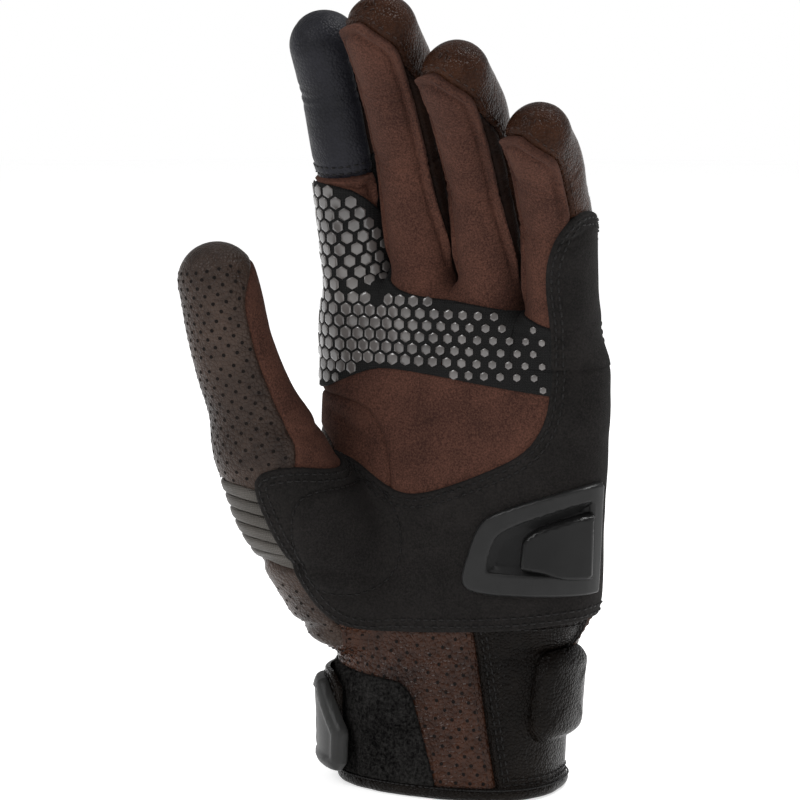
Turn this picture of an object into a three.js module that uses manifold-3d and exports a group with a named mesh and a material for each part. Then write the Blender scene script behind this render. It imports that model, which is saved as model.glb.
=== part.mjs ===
// A left-hand motorcycle riding glove with a short cuff, standing on its cuff with the fingers up.
// Millimetres and degrees. +Z runs from the cuff to the fingers, the palm faces -Y, the thumb is at -X.
import * as THREE from "three";
import { LoftGeometry } from "three/addons/geometries/LoftGeometry.js";
import { mergeVertices } from "three/addons/utils/BufferGeometryUtils.js";
import Module from "manifold-3d";

const wasm = await Module();
wasm.setup();

// ---------------------------------------------------------------- driving dimensions

// The centre of the whole glove's box, which the group is moved back by.
const BOX_CENTRE = { x: -8.1, y: -15 };

const GAP = 0.3; // between pieces that touch
const JOINT_GAP = 0.8; // between two moving segments, along the finger, at the joint's axis
const JOINT_MARGIN = 3; // degrees of notch beyond the joint's range

// Layers of the palm and cuff, as offsets from the main leather's outer face.
const LEATHER = [-1.6, 0];
const FOAM = [-3.2, -1.9];
const LINING = [-4.3, -3.5];
const OVERLAY = [0.3, 1.5];
const FRAME_LAYER = [1.8, 3.4];
const BASE_LAYER = [1.8, 2.5];
const PUCK_LAYER = [3.7, 5.6];
const GUARD_LAYER = [0.3, 4.5];
const FINGER_WALL = 1.8;

// Cross-sections of cuff and palm: height, centre x, centre y, half width, half depth.
const COLUMN = [
  { z: 0, x: 0, y: 0, w: 37, d: 27 },
  { z: 25, x: 0.2, y: 0.5, w: 38.6, d: 25.4 },
  { z: 47, x: 0.5, y: 1, w: 40, d: 23.5 },
  { z: 60, x: 2.8, y: 0.5, w: 46.5, d: 22.5 },
  { z: 90, x: 2.5, y: 0, w: 48, d: 20 },
  { z: 125, x: 3, y: 0.5, w: 49.5, d: 18 },
  { z: 150, x: 3.2, y: 1, w: 48.5, d: 16.5 },
  { z: 176, x: 2.7, y: 1, w: 47.5, d: 15.5 },
];
const COLUMN_POWER = 2.4; // 2 is an ellipse, more is squarer
const COLUMN_POINTS = 36;

// The ball of the thumb, from the wrist to the thumb's root.
const THENAR = {
  from: new THREE.Vector3(-33, -15, 66),
  to: new THREE.Vector3(-48.1, -38.1, 113),
  radii: [19.5, 20, 18.5, 16.2],
};

const WRIST = { y: 0, z: 47, bend: 20 };

// x: the finger's middle; root: height of its first joint; tilt: each segment's lean towards the palm at rest.
const FINGERS = {
  index: { x: -32.3, half: 11.6, lean: -3.5, root: 163, bones: [39, 27, 26], tilt: [8, 16, 25] },
  middle: { x: -8.3, half: 11.9, lean: -1, root: 165, bones: [43, 29, 28], tilt: [15, 27, 37] },
  ring: { x: 15.2, half: 11.4, lean: 1, root: 162, bones: [38, 27, 26], tilt: [18, 32, 44] },
  little: { x: 37.6, half: 10.8, lean: 4, root: 152, bones: [35, 23, 24], tilt: [16, 33, 48] },
};
const FINGER_ROOT_Y = 1;
const KNUCKLE = { flex: 55, extend: 15 }; // the first joint's travel from rest
const MIDDLE_JOINT_FLEX = 60; // the second joint's travel; it opens until the finger is straight
const TIP_SHARE = 0.55; // the last joint turns this much of the second joint's angle

const THUMB = {
  root: THENAR.to,
  direction: new THREE.Vector3(-0.24, -0.247, 0.939).normalize(),
  back: new THREE.Vector3(-0.4735, -0.8144, -0.3352), // the way the nail faces
  bones: [34, 35],
  bend: 9, // of the tip segment at rest
  base: { flex: 12, extend: 25 },
  tip: { flex: 45, extend: 9 },
  girth: [
    { a: 15.4, b: 15.4 },
    { a: 14, b: 14 },
    { a: 13.4, b: 13.2 },
    { a: 13.4, b: 12.8 },
    { a: 12.8, b: 12.2 },
  ],
};

// ---------------------------------------------------------------- materials

const material = (color, roughness, metalness = 0) =>
  new THREE.MeshStandardMaterial({ color, roughness, metalness });
const MATERIALS = {
  suede: material(0x4a2a22, 0.95),
  leather: material(0x45302a, 0.5),
  perforated: material(0x4b3833, 0.55),
  blackSuede: material(0x1d1b1a, 0.95),
  blackLeather: material(0x1c1a19, 0.45),
  touchLeather: material(0x20222a, 0.5),
  grip: material(0x6d6a6b, 0.35),
  stretch: material(0x76736c, 0.8),
  hardShell: material(0x3b3d41, 0.4),
  hardDark: material(0x141415, 0.5),
  rubber: material(0x2b2c2e, 0.6),
  loopPile: material(0x161616, 1),
  lining: material(0x1a1a1c, 0.9),
  foam: material(0x55534f, 0.9),
};

// ---------------------------------------------------------------- geometry helpers

const rad = THREE.MathUtils.degToRad;
const tan = (degrees) => Math.tan(rad(degrees));
const lerp = THREE.MathUtils.lerp;

// A geometry with shared corners merged and collapsed triangles dropped.
function welded(geometry) {
  const bare = new THREE.BufferGeometry();
  bare.setAttribute("position", geometry.getAttribute("position"));
  if (geometry.index) bare.setIndex(geometry.index);
  const merged = mergeVertices(bare, 1e-3);
  const old = merged.index.array;
  const kept = [];
  for (let i = 0; i < old.length; i += 3) {
    const [a, b, c] = [old[i], old[i + 1], old[i + 2]];
    if (a !== b && b !== c && c !== a) kept.push(a, b, c);
  }
  merged.setIndex(kept);
  return merged;
}

function toSolid(geometry) {
  const merged = welded(geometry);
  const make = (index) =>
    new wasm.Manifold(
      new wasm.Mesh({
        numProp: 3,
        vertProperties: new Float32Array(merged.attributes.position.array),
        triVerts: new Uint32Array(index),
      }),
    );
  const made = make(merged.index.array);
  return made.volume() > 0 ? made : make([...merged.index.array].reverse());
}

function toGeometry(solid) {
  const mesh = solid.getMesh();
  const positions = new Float32Array(mesh.numVert * 3);
  for (let i = 0; i < mesh.numVert; i++)
    positions.set(mesh.vertProperties.subarray(i * mesh.numProp, i * mesh.numProp + 3), i * 3);
  const geometry = new THREE.BufferGeometry();
  geometry.setAttribute("position", new THREE.BufferAttribute(positions, 3));
  geometry.setIndex(new THREE.BufferAttribute(mesh.triVerts, 1));
  geometry.computeVertexNormals();
  return geometry;
}

// A solid lofted through closed sections. A full turn runs back into its first section, and a pointed
// one has a last section that has shrunk to nothing.
function loft(sections, { fullTurn = false, pointed = false } = {}) {
  const [first, second] = sections;
  const centre = (ring) =>
    ring.reduce((sum, p) => sum.add(p), new THREE.Vector3()).divideScalar(ring.length);
  const normal = new THREE.Vector3();
  first.forEach((p, i) => normal.add(new THREE.Vector3().crossVectors(p, first[(i + 1) % first.length])));
  const forward = centre(second).sub(centre(first));
  const rings = normal.dot(forward) > 0 ? sections : sections.map((ring) => [...ring].reverse());
  const geometry = new LoftGeometry(fullTurn ? [...rings, rings[0]] : rings, {
    closed: true,
    capStart: !fullTurn,
    capEnd: !fullTurn && !pointed,
  });
  return toSolid(geometry);
}

// Points [a, b] of an outline, extruded from low to high along an axis that basis() turns it to.
function prism(outline, low, high, basis) {
  const shape = new THREE.Shape(outline.map(([a, b]) => new THREE.Vector2(a, b)));
  const geometry = new THREE.ExtrudeGeometry(shape, {
    depth: high - low,
    bevelEnabled: false,
    curveSegments: 6,
  });
  geometry.translate(0, 0, low);
  geometry.applyMatrix4(basis);
  return toSolid(geometry);
}
const X = new THREE.Vector3(1, 0, 0);
const Y = new THREE.Vector3(0, 1, 0);
const Z = new THREE.Vector3(0, 0, 1);
const alongX = new THREE.Matrix4().makeBasis(Y, Z, X);
const alongY = new THREE.Matrix4().makeBasis(X, Z, Y.clone().negate());
// An outline of [y, z] points run from x low to x high.
const prismX = (outline, low, high) => prism(outline, low, high, alongX);
// An outline of [x, z] points run from y front to y back.
const prismY = (outline, front, back) => prism(outline, -back, -front, alongY);

const spread = (from, to, count) =>
  Array.from({ length: count }, (_, i) => lerp(from, to, i / (count - 1)));

// A superellipse point [across, deep] at an angle.
function squircle(angle, a, b, power) {
  const c = Math.cos(rad(angle));
  const s = Math.sin(rad(angle));
  const bent = (v) => Math.sign(v) * Math.abs(v) ** (2 / power);
  return [a * bent(c), b * bent(s)];
}

// A convex outline moved inwards along its own sides' normals.
function shrunk(outline, distance) {
  const turn = THREE.ShapeUtils.area(outline.map(([x, y]) => ({ x, y }))) > 0 ? 1 : -1;
  const normal = ([ax, ay], [bx, by]) => {
    const length = Math.hypot(bx - ax, by - ay);
    return [(-turn * (by - ay)) / length, (turn * (bx - ax)) / length];
  };
  return outline.map((p, i) => {
    const before = normal(outline.at(i - 1), p);
    const after = normal(p, outline[(i + 1) % outline.length]);
    const scale = distance / (1 + before[0] * after[0] + before[1] * after[1]);
    return [p[0] + (before[0] + after[0]) * scale, p[1] + (before[1] + after[1]) * scale];
  });
}

// A smooth curve through a closed list of [x, z] points.
function smoothOutline(points, divisions) {
  const curve = new THREE.CatmullRomCurve3(
    points.map(([x, z]) => new THREE.Vector3(x, 0, z)),
    true,
    "centripetal",
  );
  return curve.getPoints(divisions).slice(0, -1).map((p) => [p.x, p.z]);
}

// ---------------------------------------------------------------- cuff and palm column

function columnAt(z) {
  let i = 0;
  while (i < COLUMN.length - 2 && COLUMN[i + 1].z < z) i++;
  const [from, to] = [COLUMN[i], COLUMN[i + 1]];
  const t = (z - from.z) / (to.z - from.z);
  const mixed = {};
  for (const key of ["x", "y", "w", "d"]) mixed[key] = lerp(from[key], to[key], t);
  return mixed;
}

// Angle 0 is the little-finger side, 90 the back of the hand, 180 the thumb side, 270 the palm.
function columnPoint(z, angle, offset) {
  const s = columnAt(z);
  const [a, b] = squircle(angle, s.w + offset, s.d + offset, COLUMN_POWER);
  return new THREE.Vector3(s.x + a, s.y + b, z);
}

const ANGLES = spread(0, 360, COLUMN_POINTS + 1).slice(0, -1);
const columnRing = (z, offset) => ANGLES.map((angle) => columnPoint(z, angle, offset));
const columnSolid = (heights, offset) => loft(heights.map((z) => columnRing(z, offset)));

// The cuff's top edge and the palm's bottom edge fall away from the wrist's axis, to leave room to bend.
const WRIST_SLOPE = tan((WRIST.bend + JOINT_MARGIN) / 2);
const cuffTop = (y) => WRIST.z - JOINT_GAP / 2 - Math.abs(y - WRIST.y) * WRIST_SLOPE;

// A panel of the cuff between two angles and two heights, at the given layer.
function cuffPanel(fromAngle, toAngle, low, high, layer, { steps = 12, bulge } = {}) {
  const fullTurn = toAngle - fromAngle === 360;
  const angles = spread(fromAngle, toAngle, steps + 1);
  if (fullTurn) angles.pop();
  const rows = bulge ? 5 : 3;
  const cuts = angles.map((angle) => {
    const share = (angle - fromAngle) / (toAngle - fromAngle);
    const column = (offset, puff) =>
      spread(0, 1, rows).map((t) => {
        const y = columnPoint(WRIST.z, angle, offset).y;
        const top = Math.min(typeof high === "function" ? high(share) : high, cuffTop(y));
        const bottom = typeof low === "function" ? low(share) : low;
        return columnPoint(lerp(bottom, top, t), angle, offset + (puff ? puff(share, t) : 0));
      });
    return [...column(layer[1], bulge), ...column(layer[0]).reverse()];
  });
  return loft(cuts, { fullTurn });
}

// ---------------------------------------------------------------- hand: palm and ball of the thumb

function thenarSolid(offset, extra) {
  const axis = THENAR.to.clone().sub(THENAR.from);
  const length = axis.length();
  const along = axis.clone().normalize();
  const side = along.clone().cross(Y).normalize();
  const up = side.clone().cross(along);
  const ring = (distance, radius) =>
    spread(0, 360, 21)
      .slice(0, -1)
      .map((angle) =>
        THENAR.from
          .clone()
          .addScaledVector(along, distance)
          .addScaledVector(side, radius * Math.cos(rad(angle)))
          .addScaledVector(up, radius * Math.sin(rad(angle))),
      );
  const first = THENAR.radii[0] + offset;
  const dome = [75, 45, 20].map((a) => ring(-first * Math.sin(rad(a)), first * Math.cos(rad(a))));
  const last = THENAR.radii.length - 1;
  const shaft = THENAR.radii.map((r, i) => ring((length * i) / last, r + offset));
  return loft([...dome, ...shaft, ring(length + extra, THENAR.radii[last] + offset)]);
}

// The room that a finger and its movement take from the top of the hand.
function fingerRoom(finger, low, high) {
  const [palm, back] = notch(finger.tilt[0], KNUCKLE);
  const z = finger.root - JOINT_GAP / 2;
  const reach = 45;
  return prismX(
    [
      [FINGER_ROOT_Y, z],
      [FINGER_ROOT_Y + reach, z - reach * tan(back)],
      [FINGER_ROOT_Y + reach, z + 120],
      [FINGER_ROOT_Y - reach, z + 120],
      [FINGER_ROOT_Y - reach, z - reach * tan(palm)],
    ],
    low,
    high,
  );
}

// Half angles of a joint's notch on the palm side and on the back, from the bend at rest and the travel.
function notch(restBend, { flex, extend }) {
  const palm = (restBend + flex + JOINT_MARGIN) / 2;
  const back = Math.max(0, extend - restBend + JOINT_MARGIN) / 2;
  return [palm, back];
}

function thumbRoom() {
  const [pad, nail] = notch(0, THUMB.base);
  const side = new THREE.Vector3().crossVectors(THUMB.direction, THUMB.back);
  const basis = new THREE.Matrix4().makeBasis(THUMB.back, THUMB.direction, side.negate());
  basis.setPosition(THUMB.root);
  const z = -JOINT_GAP / 2;
  const outline = [
    [0, z],
    [-19, z - 19 * tan(pad)],
    [-19, 40],
    [30, 40],
    [30, z - 30 * tan(nail)],
  ];
  return prism(outline, -22, 22, basis);
}

const FINGER_LIST = Object.values(FINGERS);
const slabs = FINGER_LIST.map((finger, i) => {
  const before = FINGER_LIST[i - 1];
  const after = FINGER_LIST[i + 1];
  const edge = (a, b) => (a.x + a.half + b.x - b.half) / 2;
  return [before ? edge(before, finger) : -80, after ? edge(finger, after) : 80];
});

function handCutters() {
  const reach = 60;
  const wristRoom = prismX(
    [
      [WRIST.y, WRIST.z + JOINT_GAP / 2],
      [WRIST.y + reach, WRIST.z + JOINT_GAP / 2 + reach * WRIST_SLOPE],
      [WRIST.y + reach, -20],
      [WRIST.y - reach, -20],
      [WRIST.y - reach, WRIST.z + JOINT_GAP / 2 + reach * WRIST_SLOPE],
    ],
    -90,
    90,
  );
  const rooms = FINGER_LIST.map((finger, i) => fingerRoom(finger, ...slabs[i]));
  return rooms.reduce((all, room) => all.add(room), wristRoom.add(thumbRoom()));
}
const handRoom = handCutters();

const HAND_HEIGHTS = [44, 52, 60, 75, 90, 108, 125, 150, 176];
const handMass = (offset, extra) => {
  const heights = [...HAND_HEIGHTS];
  heights[0] -= extra;
  heights[heights.length - 1] += extra;
  return columnSolid(heights, offset).add(thenarSolid(offset, extra));
};
const handLayer = ([inner, outer]) =>
  handMass(outer, 0).subtract(handMass(inner, 12)).subtract(handRoom);

// ---------------------------------------------------------------- outlines on the palm, as [x, z]

const SIDE_SEAM = 1; // the y of the seam between palm and back
const OVERLAY_BACK = 6; // how far back the black overlay wraps the little-finger side
const SLIDER_BACK = 2;
const EVERYWHERE = [
  [-90, 30],
  [90, 30],
  [90, 200],
  [-90, 200],
];

// The seam between the thumb's inner leather and the palm, from the crotch down.
const THUMB_SEAM = [
  [-17, 117],
  [-14, 104],
  [-14, 92],
];
const PALM_OUTLINE = [
  [80, 30],
  [80, 200],
  [-80, 200],
  [-80, 128],
  [-27, 128],
  ...THUMB_SEAM,
  [-31.6, 92],
  [-25.5, 40],
];
const GUSSET_OUTLINE = [
  [-14.3, 92.4],
  [-14.3, 104],
  [-17.3, 117],
  [-27.4, 127.6],
  [-80, 127.6],
  [-80, 116],
  [-35.4, 116],
  [-35.4, 112],
  [-31.9, 92.4],
];

// The thumb's outer side between two heights.
const ACCORDION = [73, 98];
function outerSide(low, high) {
  const edge = (z) => (z > 112 ? -36 : lerp(-26, -36, (z - 40) / 72));
  return [
    [-90, low],
    [edge(low), low],
    [edge(high), high],
    [-90, high],
  ];
}

const OVERLAY_OUTLINE = smoothOutline(
  [
    [-45, 103],
    [-42, 108],
    [-34, 109],
    [-27, 107],
    [-19.5, 102.5],
    [-12, 98.5],
    [-5, 98],
    [5, 100.5],
    [18.5, 106],
    [31.5, 112.5],
    [37.5, 121],
    [39.5, 131],
    [39.5, 153],
    [39, 170],
    [43, 181],
    [70, 196],
    [70, 120],
    [70, 61],
    [33, 56.5],
    [17, 55],
    [-8, 53],
    [-21, 53],
    [-29, 57],
    [-35, 70],
  ],
  48,
);
const GRIP_OUTLINE = [
  [-70, 128],
  [-45, 128],
  [-33.5, 133],
  [-23.4, 137],
  [-16, 138],
  [0, 136.6],
  [21, 133.8],
  [38.2, 131.6],
  [38.2, 153.2],
  [30, 157],
  [13.6, 160],
  [-4, 161.3],
  [-15.6, 165],
  [-19, 172],
  [-70, 190],
];

const SLIDER_OUTLINE = [
  [13, 74],
  [13.5, 70.5],
  [16, 68.5],
  [25, 67.5],
  [60, 68],
  [60, 106],
  [44, 101.5],
  [32, 97.5],
  [21, 93],
  [17, 88],
];
const SLIDER_WINDOW = [
  [20.3, 74],
  [20.6, 80],
  [23.2, 87],
  [29, 91],
  [38.3, 94.7],
  [49, 98.3],
  [49, 73.5],
];
const WINDOW_CLEARANCE = 0.5;
const PUCK_OUTLINE = [
  [31.2, 76],
  [32.2, 86],
  [36, 89.4],
  [42.7, 92.2],
  [58, 97],
  [58, 72.5],
  [42.7, 72.5],
  [37.5, 75.2],
];

const GUARD_OUTLINE = smoothOutline(
  [
    [-37, 138],
    [-34, 147],
    [-14, 150],
    [8, 149],
    [26, 142],
    [36, 133],
    [32, 123],
    [14, 127],
    [-14, 128],
    [-32, 127],
  ],
  24,
);
const THENAR_PAD = smoothOutline(
  [
    [-26, 106],
    [-13, 92],
    [-8, 74],
    [-17, 64],
    [-30, 74],
    [-35, 92],
  ],
  16,
);
const HEEL_PAD = smoothOutline(
  [
    [2, 62],
    [2, 84],
    [20, 94],
    [42, 100],
    [43, 62],
    [20, 59],
  ],
  16,
);

// ---------------------------------------------------------------- the hand's pieces

const nodes = [];
const add = (name, kind, solid) => nodes.push({ name, kind, solid });

// The part of a layer under an outline drawn on the palm, or on the back of the hand.
const FRONT = -90;
const onPalm = (layer, outline, depth = SIDE_SEAM) => layer.intersect(prismY(outline, FRONT, depth));
const onBack = (layer, outline) => layer.intersect(prismY(outline, SIDE_SEAM + GAP, 90));

const leather = handLayer(LEATHER);
const overlay = handLayer(OVERLAY);
const foam = handLayer(FOAM);

add("palm_panel", "suede", onPalm(leather, PALM_OUTLINE));
add("thumb_gusset", "suede", onPalm(leather, GUSSET_OUTLINE));
add("thenar_side_upper", "perforated", onPalm(leather, outerSide(ACCORDION[1] + GAP, 115.7)));
add("thenar_stretch_panel", "stretch", onPalm(leather, outerSide(...ACCORDION)));
add("thenar_side_lower", "perforated", onPalm(leather, outerSide(40, ACCORDION[0] - GAP)));
add("back_panel", "leather", onBack(leather, EVERYWHERE));
const thumbSideBack = prismY(
  [
    [-90, 30],
    [10, 30],
    [10, 200],
    [-90, 200],
  ],
  SIDE_SEAM,
  20,
);
add(
  "palm_overlay",
  "blackSuede",
  onPalm(overlay, OVERLAY_OUTLINE, OVERLAY_BACK).subtract(thumbSideBack),
);
add("grip_patch", "grip", onPalm(overlay, GRIP_OUTLINE));
add("knuckle_guard", "hardShell", onBack(handLayer(GUARD_LAYER), GUARD_OUTLINE));
add("guard_pad", "foam", onBack(foam, GUARD_OUTLINE));
add("thenar_pad", "foam", onPalm(foam, THENAR_PAD));
add("heel_pad", "foam", onPalm(foam, HEEL_PAD));
add("hand_lining", "lining", handLayer(LINING));

// The palm slider: a frame round a window, a floor in the window and a puck that stands on the
// floor and laps over the frame's outer end.
const frameSolid = onPalm(handLayer(FRAME_LAYER), SLIDER_OUTLINE, SLIDER_BACK);
const inWindow = prismY(shrunk(SLIDER_WINDOW, WINDOW_CLEARANCE), FRONT, SLIDER_BACK);
const puckLayers = [BASE_LAYER[1] + GAP, PUCK_LAYER[1]];
const puckFoot = onPalm(handLayer(puckLayers), PUCK_OUTLINE, SLIDER_BACK - 1).intersect(inWindow);
const puckCap = onPalm(handLayer(PUCK_LAYER), PUCK_OUTLINE, SLIDER_BACK - 1);
add("slider_frame", "hardShell", frameSolid.subtract(prismY(SLIDER_WINDOW, FRONT, 90)));
add("slider_base", "hardDark", handLayer(BASE_LAYER).intersect(inWindow));
add("slider_puck", "hardShell", puckFoot.add(puckCap));

// ---------------------------------------------------------------- finger and thumb segments

// Half of a tube along a segment: the palm side is -1, the back is 1. A station has its distance s
// along the segment, its half width a and half thickness b, and the slope at which its plane leans
// for each millimetre from the joint's axis. The arc runs from the little-finger side, and the wall
// lies between two offsets from a and b.
function halfTube({ origin, along, across, up }, stations, side, options = {}) {
  const { wall = [-FINGER_WALL, 0], angles = [0, 180], steps = 8 } = options;
  const arc = spread(...angles, steps + 1);
  const point = ({ s, a, b, slope = 0 }, angle) => {
    const height = b * Math.sin(rad(angle)) + GAP / 2;
    return origin
      .clone()
      .addScaledVector(across, a * Math.cos(rad(angle)))
      .addScaledVector(up, side * height)
      .addScaledVector(along, s + height * slope);
  };
  const sections = stations.map((station) => {
    const grown = (offset) => ({ ...station, a: station.a + offset, b: station.b + offset });
    const inner = { ...grown(wall[0]), ...station.inner };
    const outer = station.inner ? station : grown(wall[1]);
    return [
      ...arc.map((angle) => point(outer, angle)),
      ...[...arc].reverse().map((angle) => point(inner, angle)),
    ];
  });
  return loft(sections, { pointed: stations.at(-1).a === 0 });
}

// Stations of a rounded end that starts at a distance along the segment.
function dome(start, { a, b }, height) {
  return [25, 47, 66, 80, 90].map((angle) => {
    const c = angle === 90 ? 0 : Math.cos(rad(angle));
    const rise = Math.sin(rad(angle));
    const inner = {
      s: start + (height - FINGER_WALL) * rise,
      a: (a - FINGER_WALL) * c,
      b: (b - FINGER_WALL) * c,
    };
    return { s: start + height * rise, a: a * c, b: b * c, inner };
  });
}

// The stations of half a segment of the given length, with the tangents of the notches at its ends.
// The last segment of a finger has no far notch and ends in a dome.
function segmentStations(length, body, near, far) {
  const first = { s: JOINT_GAP / 2, ...body[0], slope: near };
  const rim = first.s + (first.b + GAP / 2) * near;
  if (far === undefined) {
    const height = body[2].b * 1.15;
    const start = length - height;
    const middle = { s: lerp(rim, start, 0.5), ...body[1] };
    return [first, middle, { s: start, ...body[2] }, ...dome(start, body[2], height)];
  }
  const last = { s: length - JOINT_GAP / 2, ...body[2], slope: -far };
  const lastRim = last.s + (last.b + GAP / 2) * last.slope;
  return [first, { s: lerp(rim, lastRim, 0.25), ...body[1], slope: near * 0.3 }, last];
}

// Adds both halves of a segment between two notches [palm, back], and gives back the palm side's stations.
function segment(name, frame, length, body, [near, far], [palmKind, backKind]) {
  const stations = [0, 1].map((i) => segmentStations(length, body, tan(near[i]), far && tan(far[i])));
  add(`${name}_palm`, palmKind, halfTube(frame, stations[0], -1));
  add(`${name}_back`, backKind, halfTube(frame, stations[1], 1));
  return stations[0];
}

const GIRTH = [
  { a: 11.6, b: 15 },
  { a: 11.6, b: 13.3 },
  { a: 11.6, b: 12.3 },
  { a: 11.6, b: 12 },
  { a: 11.6, b: 11.8 },
  { a: 11.6, b: 11.6 },
  { a: 11.1, b: 11 },
];
const BONES = ["proximal", "middle", "distal"];
const joints = {}; // where each segment starts

// Skins stitched over the first segments: the grip patch's upper part goes round the thumb side of the
// index finger, and the overlay's upper part round the outer side of the little finger.
const SKINS = {
  index: { name: "grip_patch_index", kind: "grip", angles: [62, 178] },
  little: { name: "overlay_little", kind: "blackSuede", angles: [2, 60] },
};
const SKIN_WALL = [0.5, 1.7];
const SKIN_MARGIN = 2; // how far a skin stops short of its segment's ends

for (const [name, finger] of Object.entries(FINGERS)) {
  const scale = (finger.half - GAP) / GIRTH[0].a;
  const girth = GIRTH.map(({ a, b }) => ({ a: a * scale, b: b * Math.sqrt(scale) }));
  const origin = new THREE.Vector3(finger.x, FINGER_ROOT_Y, finger.root);
  const travel = [
    KNUCKLE,
    { flex: MIDDLE_JOINT_FLEX, extend: finger.tilt[1] - finger.tilt[0] },
    { flex: MIDDLE_JOINT_FLEX * TIP_SHARE, extend: finger.tilt[1] - finger.tilt[0] },
  ];
  const notches = travel.map((range, i) => notch(finger.tilt[i] - (finger.tilt[i - 1] ?? 0), range));
  BONES.forEach((bone, i) => {
    const [lean, tilt] = [rad(finger.lean), rad(finger.tilt[i])];
    const along = new THREE.Vector3(
      Math.sin(lean),
      -Math.sin(tilt) * Math.cos(lean),
      Math.cos(tilt) * Math.cos(lean),
    );
    const up = new THREE.Vector3(0, Math.cos(tilt), Math.sin(tilt));
    const across = new THREE.Vector3().crossVectors(up, along).normalize();
    const frame = { origin: origin.clone(), along, across, up: along.clone().cross(across) };
    joints[`${name}_${bone}`] = origin.clone();
    const touch = name === "index" && bone === "distal";
    const kinds = [touch ? "touchLeather" : "suede", "leather"];
    const body = girth.slice(2 * i, 2 * i + 3);
    const ends = [notches[i], notches[i + 1]];
    const palmStations = segment(`${name}_${bone}`, frame, finger.bones[i], body, ends, kinds);
    const skin = SKINS[name];
    if (skin && bone === "proximal") {
      const [first, middle, last] = palmStations;
      const shorter = [
        { ...first, s: first.s + SKIN_MARGIN },
        middle,
        { ...last, s: last.s - SKIN_MARGIN },
      ];
      const options = { wall: SKIN_WALL, angles: skin.angles, steps: 6 };
      add(skin.name, skin.kind, halfTube(frame, shorter, -1, options));
    }
    origin.addScaledVector(along, finger.bones[i]);
  });
}

{
  const { base, tip, bend, bones, girth } = THUMB;
  const near = notch(0, base);
  const far = notch(bend, tip);
  const across = new THREE.Vector3().crossVectors(THUMB.back, THUMB.direction);
  const frame = { origin: THUMB.root.clone(), along: THUMB.direction, across, up: THUMB.back };
  const kinds = ["suede", "perforated"];
  segment("thumb_proximal", frame, bones[0], girth.slice(0, 3), [near, far], kinds);
  joints.thumb_proximal = THUMB.root.clone();
  joints.thumb_distal = THUMB.root.clone().addScaledVector(THUMB.direction, bones[0]);
  const bent = (v) => v.clone().applyAxisAngle(across, rad(bend));
  const tipFrame = { origin: joints.thumb_distal, along: bent(frame.along), across, up: bent(frame.up) };
  segment("thumb_distal", tipFrame, bones[1], girth.slice(2), [far], kinds);
}

// ---------------------------------------------------------------- cuff

const CUFF_BOTTOM = 5;
const BINDING_HEIGHT = 4.6;
const SEAM_ANGLE = 0.5; // half the gap between two cuff panels, in degrees round the cuff
const between = (from, to) => [from + SEAM_ANGLE, to - SEAM_ANGLE];

add("cuff_palm_panel", "perforated", cuffPanel(...between(180, 300), CUFF_BOTTOM, 60, LEATHER));
add("cuff_ulnar_panel", "blackLeather", cuffPanel(...between(300, 420), CUFF_BOTTOM, 60, LEATHER));
add("cuff_back_panel", "leather", cuffPanel(...between(60, 180), CUFF_BOTTOM, 60, LEATHER));
add("cuff_lining", "lining", cuffPanel(0, 360, CUFF_BOTTOM, 60, LINING, { steps: 30 }));
add("cuff_binding", "blackLeather", cuffPanel(0, 360, 0, BINDING_HEIGHT, [-4.6, 1.3], { steps: 36 }));

const puffed = (share, t) => 5.2 * (1 - Math.abs(2 * share - 1) ** 5) * (1 - Math.abs(2 * t - 1) ** 5);
add("wrist_pad", "blackLeather", cuffPanel(331, 378, 18, 44, [0.3, 1.5], { steps: 9, bulge: puffed }));

// ---------------------------------------------------------------- wrist strap

const STRAP = { hinge: 100, end: 224, low: 9, high: 37 };
const LOOP_PATCH = { from: 172, to: 267, low: 5.5, high: 38, topFall: 4 };
const PATCH_LAYER = [0.3, 1.5];
const HOOK_LAYER = [1.8, 2.6];
const STRAP_LAYER = [2.9, 4.5];
const TAB_LAYER = [4.8, 8];
const ANCHOR_LAYER = [0.3, 4.5];

const patchTop = (share) => LOOP_PATCH.high - LOOP_PATCH.topFall * share;
add(
  "loop_patch",
  "loopPile",
  cuffPanel(LOOP_PATCH.from, LOOP_PATCH.to, LOOP_PATCH.low, patchTop, PATCH_LAYER, { steps: 12 }),
);
add(
  "strap_anchor",
  "blackLeather",
  cuffPanel(70, STRAP.hinge - 0.8, STRAP.low, STRAP.high, ANCHOR_LAYER, { steps: 4 }),
);
add(
  "strap_band",
  "blackLeather",
  cuffPanel(STRAP.hinge, STRAP.end, STRAP.low, STRAP.high, STRAP_LAYER, { steps: 16 }),
);
add(
  "strap_hook",
  "loopPile",
  cuffPanel(186, STRAP.end - 2, STRAP.low + 3, STRAP.high - 3, HOOK_LAYER, { steps: 5 }),
);
const tabLow = (share) => STRAP.low + 1 + 4 * Math.max(0, share - 0.55) * 2;
const tabHigh = (share) => STRAP.high - 1 - 7 * Math.max(0, share - 0.55) * 2;
add("strap_tab", "rubber", cuffPanel(190, STRAP.end + 2, tabLow, tabHigh, TAB_LAYER, { steps: 9 }));

// ---------------------------------------------------------------- the scene

const glove = new THREE.Group();
for (const { name, kind, solid } of nodes) {
  const mesh = new THREE.Mesh(toGeometry(solid), MATERIALS[kind]);
  mesh.name = name;
  mesh.userData.kind = kind;
  glove.add(mesh);
}
glove.position.set(-BOX_CENTRE.x, -BOX_CENTRE.y, 0);
glove.userData.joints = joints;
glove.userData.strapHinge = columnPoint(0, STRAP.hinge, lerp(...STRAP_LAYER, 0.5));
export default glove;
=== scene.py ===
"""A left-hand riding glove, standing on its cuff with the fingers up and the palm towards the camera.

The glove's outer surface is a smooth distance field, meshed once for the hand with the thumb and once
for each finger. Every panel, patch and seam is a region of those meshes, lifted along their normals.
Lengths are millimetres in the glove's own frame until emit() moves them into the model's frame.
"""

import math

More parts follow.
